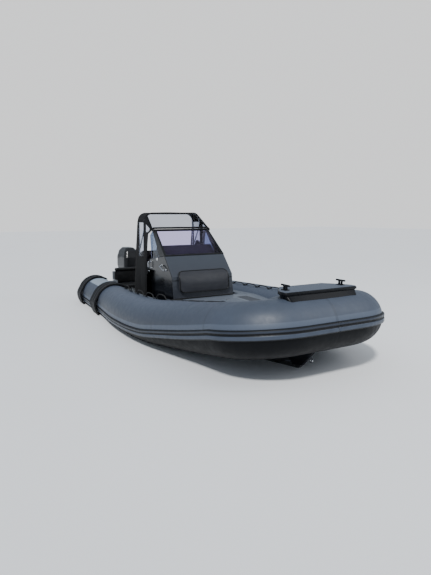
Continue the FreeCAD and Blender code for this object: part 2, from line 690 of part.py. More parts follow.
def helm_wheel():
    at, up, away = helm_place(*WHEEL_PLACE, WHEEL_STANDOFF)
    rim = Part.makeTorus(WHEEL_R, WHEEL_RIM_R, at, away)
    hub = cylinder(at - away * 30, at + away * 12, 40.0)
    wheel = rim.fuse(hub)
    for degrees in (90, 210, 330):
        turn = FreeCAD.Rotation(away, degrees)
        out = turn.multVec(up)
        wheel = wheel.fuse(cylinder(at + out * 20, at + out * WHEEL_R, 9.0))
    bore = cylinder(at - away * 40, at - away * 14, WHEEL_SHAFT_R + RUN)
    return wheel.cut(bore)


def throttle():
    at, up, away = helm_place(0.45, THROTTLE_Y, 20.0)
    base = block(at, up, Y, away, 130.0, 80.0, 40.0)
    base = base.makeFillet(12.0, [e for e in base.Edges if abs(e.tangentAt(0).dot(away)) > 0.9])
    foot = at + away * 10
    lever = round_bar([foot, foot + away * 95 + up * 20, foot + away * 95 + up * 20 + Y * 55], 9.0, 16.0)
    grip = cylinder(foot + away * 95 + up * 20 + Y * 20, foot + away * 95 + up * 20 + Y * 75, 17.0)
    return solid_of(base.fuse(lever).fuse(grip))


def dash_panel():
    (xa, za), (xb, zb) = CONSOLE_TOP
    pts = [(x, za + (zb - za) * (x - xa) / (xb - xa) + h) for x, h in DASH_SIDE]
    dash = prism_y(pts, DASH_HALF)
    ridges = [e for e in dash.Edges if abs(e.tangentAt(0).y) > 0.9 and e.Vertexes[0].Z > 1350]
    return dash.makeFillet(25.0, ridges)


def console_pad():
    pad = prism_y(PAD_SIDE, PAD_HALF)
    return pad.makeFillet(14.0, [e for e in pad.Edges if abs(e.tangentAt(0).y) < 0.1 and e.Vertexes[0].X > 4170])


def screen_axes():
    up = SCREEN_TOP - SCREEN_FOOT
    length = up.Length
    up.normalize()
    inwards = Y.cross(up) if Y.cross(up).x < 0 else up.cross(Y)
    return up, inwards, length


def screen_plate(pts, t0, t1):
    """A plate in the plane of the windscreen; columns across, up the screen."""
    up, inwards, _ = screen_axes()
    places = [SCREEN_FOOT + Y * a + up * b + inwards * t0 for a, b in pts]
    return Part.Face(Part.makePolygon(places + [places[0]])).extrude(inwards * (t1 - t0))


def screen_panes():
    """The windscreen's daylight opening, whose mullion is only a trim line on the glass."""
    _, _, length = screen_axes()
    side_foot, low, side_head, high = PANE_INSET
    foot, top = SCREEN_HALF[0] - side_foot, SCREEN_HALF[1] - side_head
    return [(-foot, low), (foot, low), (top, length - high), (-top, length - high)]


def side_frame_outline():
    head_back, foot_back, drop = SIDE_FRAME_FEET
    return [(SCREEN_FOOT.x, SCREEN_FOOT.z), (SCREEN_TOP.x, SCREEN_TOP.z), (SCREEN_TOP.x - head_back, SCREEN_TOP.z),
            (SCREEN_FOOT.x - foot_back, SCREEN_FOOT.z - drop)]


def windscreen_frame():
    """Ring round the front pane, with a pillar down each side of the console, let out for the glass."""
    _, inwards, length = screen_axes()
    foot, top = SCREEN_HALF
    ring = screen_plate([(-foot, 0), (foot, 0), (top, length), (-top, length)], 0.0, SCREEN_FRAME_T)
    ring = ring.cut(screen_plate(screen_panes(), -5.0, SCREEN_FRAME_T + 5))
    (xa, za), (xb, zb) = CONSOLE_TOP
    below = prism_y([(xa, za), (xb + 200, zb + (zb - za) / (xb - xa) * 200), (xb + 200, 900), (xa, 900)], 900)
    pieces = [ring]
    for s in (-1, 1):
        y0, y1 = sorted((s * (CONSOLE_HALF - SIDE_FRAME_T), s * CONSOLE_HALF))
        pillar = face_xz(side_frame_outline(), y0).extrude(V(0, y1 - y0, 0))
        cut_foot, cut_top = SCREEN_HALF[0], SCREEN_HALF[1]
        z0, z1 = SCREEN_FOOT.z, SCREEN_TOP.z + 1
        lean = [V(4000, s * (cut_foot + 0.6), z0), V(2900, s * (cut_foot + 0.6), z0),
                V(2900, s * cut_top, z1), V(4000, s * cut_top, z1)]
        away = Part.Face(Part.makePolygon(lean + [lean[0]])).extrude(V(0, s * 200, 0))
        pieces.append(pillar.cut(away))
    frame = pieces[0].multiFuse(pieces[1:])
    return frame.cut(below).cut(front_glass())


def front_glass():
    mid = SCREEN_FRAME_T / 2
    return screen_plate(screen_panes(), mid - GLASS_T / 2, mid + GLASS_T / 2)


def windscreen_glass():
    """The front pane and the two short side panes behind it."""
    (xa, za), (xb, zb) = CONSOLE_TOP

    def on_top(x):
        return za + (zb - za) * (x - xa) / (xb - xa)

    p, q = side_frame_outline()[2:]
    upper = V(p[0], 0, p[1]) + (V(q[0], 0, q[1]) - V(p[0], 0, p[1])) * 0.06
    foot_x, head_x, head_z = SIDE_PANE_AFT
    outline = [(upper.x, upper.z), (q[0], on_top(q[0])), (foot_x, on_top(foot_x)), (head_x, head_z)]
    pane = face_xz(outline, CONSOLE_HALF - SIDE_PANE_INSET).extrude(V(0, GLASS_T, 0))
    return Part.makeCompound([front_glass(), pane, mirror_y(pane)])


def console_rails():
    made = []
    for (xa, za), (xb, zb) in HANDLES:
        y = -CONSOLE_HALF
        out = y - HANDLE_OUT
        bar = round_bar([V(xa, y, za), V(xa, out, za), V(xb, out, zb), V(xb, y, zb)], HANDLE_R, 22.0)
        made.append(bar)
    made += [mirror_y(b) for b in made]
    return Part.makeCompound(made)


def canopy_frame():
    xm, xf = HOOP_X
    h, z = HOOP_HALF, HOOP_TOP
    main = round_bar([V(xm, -h, SOLE_Z), V(xm, -h, z), V(xm, h, z), V(xm, h, SOLE_Z)], HOOP_R, HOOP_BEND)
    fork, knee = HOOP_FORK
    front = round_bar([V(xm, -h, fork), V(xf, -h, knee), V(xf, -h, z), V(xf, h, z), V(xf, h, knee), V(xm, h, fork)],
                      HOOP_R, HOOP_BEND)
    feet = [Part.makeCylinder(38.0, 10.0, V(xm, s * h, SOLE_Z)) for s in (-1, 1)]
    return main.multiFuse([front] + feet)


def arched(x0, x1, half, z0, z1, radius):
    b = box(x0, x1, -half, half, z0, z1)
    edges = [e for e in b.Edges if abs(e.tangentAt(0).x) > 0.9 and e.Vertexes[0].Z > z1 - 1]
    return b.makeFillet(radius, edges)


def canopy_top():
    r = HOOP_BEND + HOOP_R + CLOTH_GAP
    half, top = HOOP_HALF + HOOP_R + CLOTH_GAP, HOOP_TOP + HOOP_R + CLOTH_GAP
    x0, x1 = ROOF_X
    outer = arched(x0, x1, half + CLOTH_T, ROOF_SKIRT_Z, top + CLOTH_T, r + CLOTH_T)
    return outer.cut(arched(x0 - 10, x1 + 10, half, ROOF_SKIRT_Z - 200, top, r))


def front_window():
    top = HOOP_TOP + HOOP_R + CLOTH_GAP
    x1 = ROOF_X[1]
    half = HOOP_HALF + HOOP_R + CLOTH_GAP
    x, z = SCREEN_TOP.x, SCREEN_TOP.z
    return prism_y([(x1, top), (x1, top + CLOTH_T), (x + 3.0, z + CLOTH_T), (x, z + 0.4)], half)


def curtain(side, outline, y, t):
    ya = side * y
    return face_xz(outline, ya).extrude(V(0, side * t, 0))


def canopy_curtain(side):
    y = HOOP_HALF + HOOP_R + CLOTH_GAP + GLUE
    sheet = curtain(side, CURTAIN, y, CURTAIN_T)
    for window in CURTAIN_WINDOWS:
        sheet = sheet.cut(curtain(side, window, y - 1, CURTAIN_T + 2))
    return sheet


def canopy_windows():
    """The clear panes: one between the roof and the windscreen, and two in each curtain."""
    y = HOOP_HALF + HOOP_R + CLOTH_GAP + GLUE + 1.0
    panes = [curtain(s, w, y, CURTAIN_T - 2.0) for s in (-1, 1) for w in CURTAIN_WINDOWS]
    return Part.makeCompound([front_window()] + panes)


def helm_seat_base():
    x0, x1, half, top = HELM_POD
    return round_box(x0, x1, -half, half, SOLE_Z, top, 40.0, "upright")


def helm_seat_cushion():
    x0, x1, half, t = HELM_CUSHION
    top = HELM_POD[3]
    return round_box(x0, x1, -half, half, top, top + t, 22.0)


def helm_seat_back():
    back = prism_y(HELM_BACK, HELM_CUSHION[2])
    return back.makeFillet(25.0, [e for e in back.Edges if e.Vertexes[0].Z > 900 or e.Vertexes[-1].Z > 900])


def bench_axis():
    x, z = BENCH_HINGE
    half = BENCH_SEAT[2]
    return V(x, -half, z), V(x, half, z)


def bench_base():
    """Locker under the aft bench, with cheeks that carry the seat's pins and an upstand behind the back."""
    x0, x1, half, top = BENCH
    w = BENCH_WALL
    inner, cheek_x, cheek_z = BENCH_CHEEK
    up_x, up_z = BENCH_UPSTAND
    body = box(x0, x1, -half, half, SOLE_Z, top)
    for s in (-1, 1):
        ya, yb = sorted((s * inner, s * half))
        body = body.fuse(box(x0, cheek_x, ya, yb, top - 1, cheek_z))
    body = body.fuse(box(x0, up_x, -half, half, top - 1, up_z))
    body = body.common(round_box(x0, x1, -half, half, SOLE_Z, up_z, COCKPIT_CORNER, "upright"))
    body = body.cut(box(up_x + w, x1 - w, -inner + w, inner - w, SOLE_Z + w, top + 50))
    return solid_of(body.fuse(stub_pins(*bench_axis(), PIN_GRIP, LID_GAP + 15.0)))


def bench_seat():
    x0, x1, half, z0, z1 = BENCH_SEAT
    seat = box(x0, x1, -half, half, z0, z1)
    edges = [e for e in seat.Edges if abs(e.tangentAt(0).y) > 0.9 and e.Vertexes[0].Z > z1 - 1]
    seat = seat.makeFillet(BENCH_HINGE[0] - x0, edges)
    return seat.cut(stub_pins(*bench_axis(), PIN_GRIP + 1.0, 10.0, PIN_R + RUN))


def bench_back():
    half = BENCH_SEAT[2]
    x, z, r = BENCH_ROLL
    back = prism_y(BENCH_BACK, half)
    return solid_of(back.fuse(cylinder(V(x, -half, z), V(x, half, z), r)))


def outboard_bracket():
    """Two clamp plates over the transom, with the pin that the swivel tilts on."""
    y0, y1 = BRACKET_Y
    plate = face_xz(BRACKET_SIDE, y0).extrude(V(0, y1 - y0, 0))
    plates = plate.fuse(mirror_y(plate))
    across = box(0.0, 95.0, -y1, y1, TRANSOM_Z, TRANSOM_Z + 12.0)
    pin = cylinder(TILT_AXIS - Y * y1, TILT_AXIS + Y * y1, TILT_PIN_R)
    return solid_of(plates.fuse(across).fuse(pin))


def outboard_swivel():
    """The tilting bracket: a boss on the tilt pin and the tube that the leg steers in."""
    z0, z1 = SWIVEL_Z
    tube = Part.makeCylinder(SWIVEL_R, z1 - z0, V(STEER_X, 0, z0))
    boss = cylinder(TILT_AXIS - Y * 84, TILT_AXIS + Y * 84, 32.0)
    web = box(STEER_X, TILT_AXIS.x, -40, 40, 250, 375)
    low = face_xz([(STEER_X, -60), (STEER_X, 260), (-62, 260), (-78, -20)], -22).extrude(V(0, 44, 0))
    body = tube.multiFuse([boss, web, low])
    body = body.cut(cylinder(TILT_AXIS - Y * 100, TILT_AXIS + Y * 100, TILT_PIN_R + RUN))
    return body.cut(Part.makeCylinder(STEER_R + RUN, 900, V(STEER_X, 0, z0 - 200)))


def rounded_outline(x0, x1, half, z, r):
    """A rounded rectangle at height z, from lines and four arcs."""
    k = r * (1 - math.sqrt(0.5))
    corners = [(x1, half, -1, -1), (x0, half, 1, -1), (x0, -half, 1, 1), (x1, -half, -1, 1)]
    edges, ends = [], []
    for i, (x, y, sx, sy) in enumerate(corners):
        a, b = V(x, y + sy * r, z), V(x + sx * r, y, z)
        if i % 2:
            a, b = b, a
        edges.append(Part.Arc(a, V(x + sx * k, y + sy * k, z), b).toShape())
        ends.append((a, b))
    for i in range(4):
        edges.append(Part.LineSegment(ends[i][1], ends[(i + 1) % 4][0]).toShape())
    return Part.Wire(Part.__sortEdges__(edges))


def outboard_leg():
    """Pan, midsection, plate, gearcase with skeg and shaft, and the arms that hold the steering shaft."""
    rows = [rounded_outline(back, front, half, z, min(half * 0.8, 90.0)) for z, front, back, half in LEG_SECTIONS]
    body = Part.makeLoft(rows, True, True)
    pieces = []
    z0, z1 = SWIVEL_Z
    for za, zb in ((z1 + 6, z1 + 42), (z0 - 42, z0 - 6)):
        pieces.append(box(-300.0, STEER_X, -45.0, 45.0, za, zb))
        pieces.append(Part.makeCylinder(45.0, zb - za, V(STEER_X, 0, za)))
    pieces.append(Part.makeCylinder(STEER_R, z1 - z0 + 40, V(STEER_X, 0, z0 - 20)))
    pieces.append(prism_z([(-180, 20), (-180, -20), (-300, -95), (-610, -95), (-610, 95), (-300, 95)],
                          PLATE_Z - 5, PLATE_Z + 7))
    strut = [(-200.0, PLATE_Z), (-420.0, PLATE_Z), (-450.0, GEAR_Z), (-230.0, GEAR_Z)]
    pieces.append(face_xz(strut, -24).extrude(V(0, 48, 0)))
    skeg = [(-260.0, GEAR_Z), (-470.0, GEAR_Z), (-500.0, SKEG_Z), (-420.0, SKEG_Z)]
    pieces.append(face_xz(skeg, -7).extrude(V(0, 14, 0)))
    case = [(0, -150), (20, -160), (44, -210), (GEAR_R, -300), (GEAR_R, -480), (PROP_HUB_R + 2, -530), (0, -530)]
    pts = [V(x, 0, r) for r, x in case]
    case = Part.Face(Part.makePolygon(pts + [pts[0]])).revolve(V(0, 0, 0), X, 360)
    case.translate(V(0, 0, GEAR_Z))
    pieces.append(case)
    pieces.append(cylinder(V(-520, 0, GEAR_Z), V(PROP_X[0] + 30, 0, GEAR_Z), PROP_SHAFT_R))
    return body.multiFuse(pieces)


def propeller():
    """Hub and twisted blades; each blade is a ruled loft of lens sections set at its own pitch angle."""
    x0, x1 = PROP_X
    hub = cylinder(V(x0, 0, GEAR_Z), V(x1, 0, GEAR_Z), PROP_HUB_R)
    mid = (x0 + x1) / 2
    wires = []
    # Columns radius, chord, thickness
    for r, chord, thick in ((PROP_HUB_R - 12, 95.0, 12.0), (105.0, 150.0, 9.0), (160.0, 130.0, 6.0), (PROP_R, 50.0, 4.0)):
        lean = math.atan2(PROP_PITCH, 2 * math.pi * r)
        along = V(math.sin(lean), math.cos(lean), 0)
        across = V(-math.cos(lean), math.sin(lean), 0)
        at = V(mid, 0, GEAR_Z + r)
        a, b = at - along * (chord / 2), at + along * (chord / 2)
        arcs = [Part.Arc(a, at + across * (thick / 2), b).toShape(), Part.Arc(b, at - across * (thick / 2), a).toShape()]
        wires.append(Part.Wire(arcs))
    blade = Part.makeLoft(wires, True, True)
    blade = blade.common(box(x0 + 2, x1 - 2, -400, 400, GEAR_Z - 400, GEAR_Z + 400))
    made = hub
    for i in range(PROP_BLADES):
        b = blade.copy()
        b.rotate(V(mid, 0, GEAR_Z), X, i * 360.0 / PROP_BLADES)
        made = made.fuse(b)
    return made.cut(cylinder(V(PROP_X[0] + 28, 0, GEAR_Z), V(x1 + 10, 0, GEAR_Z), PROP_SHAFT_R + RUN))


def outboard_cowl():
    """Hollow cowl, open below, that stands on the leg's pan."""
    w = COWL_WALL
    outer = Part.makeLoft([rounded_outline(b, f, h, z, r) for z, f, b, h, r in COWL_SECTIONS], True, True)
    inner = Part.makeLoft([rounded_outline(b + w, f - w, h - w, z - (w if i == 4 else 0), r - w)
                           for i, (z, f, b, h, r) in enumerate(COWL_SECTIONS)], True, True)
    return outer.cut(inner)


def engine_block():
    x0, x1, half, top = ENGINE
    return box(x0, x1, -half, half, LEG_SECTIONS[0][0], top)


def save(name, shape):
    shape.exportStep(f"parts/{name}.step")
    bad = "" if shape.isValid() else "  INVALID"
    print(f"{name}: {len(shape.Solids)} solid, {shape.Volume / 1e9:.5f} m3{bad}", flush=True)


def main():
    os.makedirs("parts", exist_ok=True)
    clearance = tube_clearance()
    solid_hull = hull(clearance)
    guard = stem_guard(clearance, solid_hull)
    shapes = dict(tube_chambers())
    for side, word in ((-1, "starboard"), (1, "port")):
        shapes[f"strake_{word}"] = strake(side)
        shapes[f"grab_line_{word}"] = grab_line(side, clearance)
        shapes[f"canopy_curtain_{word}"] = canopy_curtain(side)
    shapes.update(hull_mouldings(solid_hull))
    shapes.update({
        "foredeck_hatch": hatch_lid(FORE_HATCH),
        "anchor_hatch": hatch_lid(ANCHOR_HATCH),
        "stem_guard": guard,
        "towing_eyes": towing_eyes(solid_hull, guard),
        "tube_pads": tube_pads(),
        "fenders": fenders(clearance),
        "bow_step": bow_step(clearance),
        "bow_bollards": bow_bollards(),
        "console_shell": console_shell(),
        "console_door": console_door(),
        "console_pad": console_pad(),
        "console_rails": console_rails(),
        "dash_panel": dash_panel(),
        "helm_wheel": helm_wheel(),
        "throttle": throttle(),
        "windscreen_frame": windscreen_frame(),
        "windscreen_glass": windscreen_glass(),
        "canopy_frame": canopy_frame(),
        "canopy_top": canopy_top(),
        "canopy_windows": canopy_windows(),
        "helm_seat_base": helm_seat_base(),
        "helm_seat_cushion": helm_seat_cushion(),
        "helm_seat_back": helm_seat_back(),
        "bench_base": bench_base(),
        "bench_seat": bench_seat(),
        "bench_back": bench_back(),
        "outboard_bracket": outboard_bracket(),
        "outboard_swivel": outboard_swivel(),
        "outboard_leg": outboard_leg(),
        "outboard_cowl": outboard_cowl(),
        "engine_block": engine_block(),
        "propeller": propeller(),
    })
    for name, shape in shapes.items():
        save(name, shape)


main()
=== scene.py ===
"""Looks of the rigid inflatable boat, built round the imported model. Metres, in the model's own frame."""
import math

import bmesh
import bpy
from mathutils import Matrix, Vector, geometry, noise


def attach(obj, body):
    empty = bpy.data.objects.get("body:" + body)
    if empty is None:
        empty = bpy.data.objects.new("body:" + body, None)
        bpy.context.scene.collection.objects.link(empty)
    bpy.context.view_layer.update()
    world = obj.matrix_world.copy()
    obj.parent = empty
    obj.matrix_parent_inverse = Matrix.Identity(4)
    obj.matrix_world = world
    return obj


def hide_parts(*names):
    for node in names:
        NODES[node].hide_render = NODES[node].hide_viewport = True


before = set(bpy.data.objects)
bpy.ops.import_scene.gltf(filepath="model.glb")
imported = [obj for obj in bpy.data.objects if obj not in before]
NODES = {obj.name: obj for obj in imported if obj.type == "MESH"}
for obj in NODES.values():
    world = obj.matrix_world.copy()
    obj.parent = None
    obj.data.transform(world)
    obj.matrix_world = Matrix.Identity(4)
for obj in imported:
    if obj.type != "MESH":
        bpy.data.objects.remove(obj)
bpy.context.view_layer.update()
UP = Vector((0, 0, 1))
ACROSS = Vector((0, 1, 0))
SIDES = ((-1, "starboard"), (1, "port"))

# Buoyancy tube, as in the model: columns x, half spread, height, share of the run that a bend takes
TUBE_R = 0.345
TUBE_LINE = [
    (0.650, 1.165, 0.240, 0.0), (2.550, 1.165, 0.240, 0.45), (3.700, 1.265, 0.280, 0.45),
    (4.750, 1.240, 0.325, 0.45), (6.300, 0.980, 0.515, 0.45), (7.225, 0.880, 0.672, 0.55),
]
BOW_CHAMBER_X = 4.300
# Tail cone: columns distance aft of the last ring, radius
TAIL = [(0.0, 0.345), (0.10, 0.309), (0.20, 0.272), (0.30, 0.236), (0.395, 0.185), (0.428, 0.172),
        (0.440, 0.140), (0.440, 0.0)]
AROUND = 72                         # points round the tube
STEP = 0.04                         # spacing of its rings

# Strake: degrees from the tube's widest line down to its top edge, which climbs forward of STRAKE_TURN_X
STRAKE_TOP = 8.3
STRAKE_TURN_X = 5.0
STRAKE_CLIMB = 10.2                 # degrees a metre
# Columns degrees below its top edge, height over the skin
STRAKE_PROFILE = [
    (0.0, 0.002), (0.2, 0.007), (1.2, 0.012), (1.9, 0.023), (3.2, 0.026), (6.4, 0.026), (7.8, 0.023),
    (8.6, 0.012), (10.6, 0.012), (11.4, 0.023), (12.8, 0.026), (18.4, 0.026), (20.0, 0.022), (20.8, 0.010),
    (21.7, 0.006), (21.9, 0.002),
]
# Material of each run of the profile: 0 strake, 1 groove and shade, 2 ridge. The strake's mid tone on ridge
# 1's flat top is a painted highlight, and the dark groove tone also covers the slopes that face down, as
# painted shade.
STRAKE_TONES = (1, 1, 1, 1, 0, 1, 1, 1, 1, 2, 2, 1, 1, 1, 1)

# Palette, as sRGB
SLATE = (0.235, 0.268, 0.322)
# Slate painted lighter, as light on the doubling strip
SLATE_LIT = (0.285, 0.322, 0.38)
UNDER = (0.018, 0.024, 0.036)
BLACK = (0.025, 0.027, 0.032)
CHARCOAL = (0.225, 0.245, 0.28)
DECK = (0.37, 0.40, 0.445)
CANVAS = (0.012, 0.016, 0.025)
VINYL = (0.045, 0.048, 0.055)


# Node trees

class Shader:
    """A material whose Principled shader is fed by procedural nodes."""

    def __init__(self, name, color, rough=0.5, metal=0.0, coords="Object", **inputs):
        self.mat = bpy.data.materials.new(name)
        self.mat.use_nodes = True
        self.tree = self.mat.node_tree
        self.bsdf = self.tree.nodes["Principled BSDF"]
        self.bsdf.inputs["Base Color"].default_value = (*linear(color), 1)
        self.bsdf.inputs["Roughness"].default_value = rough
        self.bsdf.inputs["Metallic"].default_value = metal
        for key, value in inputs.items():
            self.bsdf.inputs[key.replace("_", " ")].default_value = value
        self.spaces = self.add("ShaderNodeTexCoord").outputs
        self.where = self.spaces[coords]
        self.solid = self.spaces["Object"]
        self.height = None

    def add(self, kind, **props):
        node = self.tree.nodes.new(kind)
        for key, value in props.items():
            setattr(node, key, value)
        return node

    def put(self, socket, value):
        """Links an output to a socket, or sets the socket's own value."""
        if isinstance(value, bpy.types.NodeSocket):
            self.tree.links.new(value, socket)
        elif isinstance(value, tuple) and len(value) == 3 and socket.type == "RGBA":
            socket.default_value = (*linear(value), 1)
        else:
            socket.default_value = value

    def scaled(self, size, where=None):
        node = self.add("ShaderNodeMapping")
        self.put(node.inputs["Vector"], where or self.where)
        node.inputs["Scale"].default_value = size
        return node.outputs["Vector"]

    def noise(self, scale, detail=3.0, rough=0.5, where=None):
        node = self.add("ShaderNodeTexNoise")
        self.put(node.inputs["Vector"], where or self.solid)
        node.inputs["Scale"].default_value = scale
        node.inputs["Detail"].default_value = detail
        node.inputs["Roughness"].default_value = rough
        return node.outputs["Fac"]

    def cells(self, scale, feature="F1"):
        node = self.add("ShaderNodeTexVoronoi", feature=feature)
        self.put(node.inputs["Vector"], self.solid)
        node.inputs["Scale"].default_value = scale
        return node.outputs["Distance"]

    def waves(self, scale, axis="X", where=None):
        node = self.add("ShaderNodeTexWave", bands_direction=axis)
        self.put(node.inputs["Vector"], where or self.where)
        node.inputs["Scale"].default_value = scale
        return node.outputs["Fac"]

    def math(self, op, a, b=0.0, c=0.0):
        node = self.add("ShaderNodeMath", operation=op)
        for socket, value in zip(node.inputs, (a, b, c)):
            self.put(socket, value)
        return node.outputs[0]

    def part(self, axis, where=None):
        node = self.add("ShaderNodeSeparateXYZ")
        self.put(node.inputs[0], where or self.where)
        return node.outputs["XYZ".index(axis)]

    def normal(self, axis):
        return self.part(axis, self.add("ShaderNodeNewGeometry").outputs["True Normal"])

    def ramp(self, value, low, high, a=0.0, b=1.0):
        node = self.add("ShaderNodeMapRange")
        self.put(node.inputs["Value"], value)
        for key, number in (("From Min", low), ("From Max", high), ("To Min", a), ("To Max", b)):
            node.inputs[key].default_value = number
        return node.outputs["Result"]

    def band(self, value, low, high, soft):
        """1 between low and high, 0 outside, with soft edges."""
        rise = self.ramp(value, low - soft, low + soft)
        return self.math("MULTIPLY", rise, self.ramp(value, high - soft, high + soft, 1, 0))

    def mix(self, fac, a, b):
        node = self.add("ShaderNodeMix", data_type="RGBA")
        self.put(node.inputs["Factor"], fac)
        self.put(node.inputs[6], a)
        self.put(node.inputs[7], b)
        return node.outputs[2]

    def feed(self, name, value):
        self.put(self.bsdf.inputs[name], value)
        return self

    def color(self, value):
        return self.feed("Base Color", value)

    def rough(self, value):
        return self.feed("Roughness", value)

    def tone(self, color, low, high, *noise):
        """Blotches between two shares of a colour."""
        return self.mix(self.noise(*noise), shade(color, low), shade(color, high))

    def wear(self, low, high, *noise):
        """Roughness that wanders between two values."""
        return self.rough(self.ramp(self.noise(*noise), 0.3, 0.7, low, high))

    def bump(self, height, strength, distance=0.002):
        node = self.add("ShaderNodeBump")
        self.put(node.inputs["Height"], height)
        node.inputs["Strength"].default_value = strength
        node.inputs["Distance"].default_value = distance
        if self.height is not None:
            self.put(node.inputs["Normal"], self.height)
        self.height = node.outputs["Normal"]
        self.put(self.bsdf.inputs["Normal"], self.height)
        return self


def linear(color):
    """sRGB numbers as the shader takes them."""
    return tuple(c / 12.92 if c <= 0.04045 else ((c + 0.055) / 1.055) ** 2.4 for c in color)


def shade(color, k):
    return tuple(min(1.0, c * k) for c in color)


def tube_cloth():
    """Coated cloth: slate over the strake, near black under it, with seam tapes and a doubling strip; painted
    light on the crest and on the strip, painted shade down the sides.
    """
    m = Shader("tube_cloth", SLATE, 0.40, coords="UV")
    along, below = m.part("X"), m.part("Y")
    blotch = m.noise(1.7, 5.0, 0.6)
    upper = m.mix(m.ramp(blotch, 0.3, 0.7), shade(SLATE, 0.94), shade(SLATE, 1.06))
    strip = m.band(below, -10.6, 1.0, 0.15)
    # The doubling strip is real; its lighter slate is painted light.
    upper = m.mix(strip, upper, SLATE_LIT)
    tape = m.band(m.math("PINGPONG", along, 0.66), -1.0, 0.021, 0.0012)
    upper = m.mix(m.math("MULTIPLY", tape, 0.35), upper, shade(SLATE, 0.72))
    dust = m.math("MULTIPLY", m.ramp(m.noise(9.0, 6.0, 0.7), 0.5, 0.8), 0.25)
    upper = m.mix(dust, upper, shade(SLATE, 1.2))
    # Painted light and shade: lighter on the crest, darker down the sides towards the strake, growing from
    # 0.9 m to 2.6 m aft of the nose and weaker over the doubling strip.
    painted_side_shade = m.mix(m.ramp(below, -75.0, -5.0), shade(SLATE, 1.12), shade(SLATE, 0.70))
    upper = m.mix(m.math("MULTIPLY", m.ramp(along, 0.9, 2.6), m.math("SUBTRACT", 0.85, strip)), upper, painted_side_shade)
    m.color(m.mix(m.ramp(below, 9.0, 11.0), upper, m.mix(blotch, UNDER, shade(UNDER, 1.5))))
    m.feed("Specular IOR Level", m.ramp(below, 8.0, 12.0, 0.5, 0.12))
    m.rough(m.ramp(m.noise(14.0, 4.0), 0.3, 0.75, 0.44, 0.58))
    weave = m.math("ADD", m.waves(160.0, "X"), m.waves(0.9, "Y"))
    m.bump(weave, 0.10, 0.0004)
    m.bump(m.math("ADD", tape, strip), 0.5, 0.0012)
    return m.bump(m.noise(5.0, 2.0), 0.25, 0.004).mat


def rubber(name, color, rough=0.5, grain=140.0):
    m = Shader(name, color, rough, Specular_IOR_Level=0.3)
    m.color(m.tone(color, 0.85, 1.2, 6.0, 5.0, 0.6)).wear(rough - 0.07, rough + 0.1, 22.0)
    return m.bump(m.noise(grain, 4.0, 0.7), 0.25, 0.0008).mat


def hull_gelcoat():
    """Black gelcoat outside; where a face looks up, the grey non-slip sole."""
    m = Shader("hull_gelcoat", BLACK, 0.16, Coat_Weight=0.5, Coat_Roughness=0.06)
    up = m.ramp(m.normal("Z"), 0.55, 0.75)
    grit = m.cells(170.0, "SMOOTH_F1")
    sole = m.tone(DECK, 0.86, 1.0, 4.0, 5.0, 0.6)
    side = m.tone(BLACK, 1.0, 1.5, 2.0, 4.0)
    scum = m.ramp(m.part("Z"), -0.04, 0.03, 0.5, 0.0)
    side = m.mix(m.math("MULTIPLY", scum, m.noise(12.0, 6.0, 0.7)), side, (0.20, 0.21, 0.19))
    m.color(m.mix(up, side, sole))
    m.rough(m.math("MAXIMUM", m.ramp(up, 0, 1, 0.0, 0.55), m.ramp(m.noise(30.0), 0.2, 0.8, 0.12, 0.22)))
    m.bump(m.math("MULTIPLY", grit, up), 0.5, 0.0012)
    return m.bump(m.noise(9.0, 2.0), 0.05, 0.003).mat


def deck_gelcoat():
    """Grey deck, non-slip where it is level, black where it shows outside under the tube."""
    m = Shader("deck_gelcoat", DECK, 0.35, Coat_Weight=0.25, Coat_Roughness=0.15)
    z = m.normal("Z")
    level = m.ramp(z, 0.9, 0.97)
    outside = m.math("MAXIMUM", m.ramp(z, -0.12, -0.04, 1, 0), m.ramp(m.normal("X"), -0.95, -0.85, 1, 0))
    outside = m.math("MULTIPLY", outside, m.math("SUBTRACT", 1.0, m.band(m.part("X"), 0.04, 4.12, 0.005)))
    grit = m.cells(150.0, "SMOOTH_F1")
    tone = m.tone(DECK, 0.92, 1.04, 3.0, 6.0, 0.65)
    tone = m.mix(m.math("MULTIPLY", level, 0.6), tone, shade(DECK, 0.88))
    m.color(m.mix(outside, tone, BLACK))
    m.rough(m.ramp(level, 0, 1, 0.3, 0.62))
    m.bump(m.math("MULTIPLY", grit, level), 0.55, 0.0012)
    return m.bump(m.noise(8.0, 2.0), 0.05, 0.003).mat


def gelcoat(name, color, rough):
    m = Shader(name, color, rough, Coat_Weight=0.8, Coat_Roughness=0.05)
    m.color(m.tone(color, 0.93, 1.07, 2.4, 4.0)).wear(rough - 0.04, rough + 0.07, 25.0, 3.0)
    return m.bump(m.noise(6.0, 2.0), 0.06, 0.004).mat


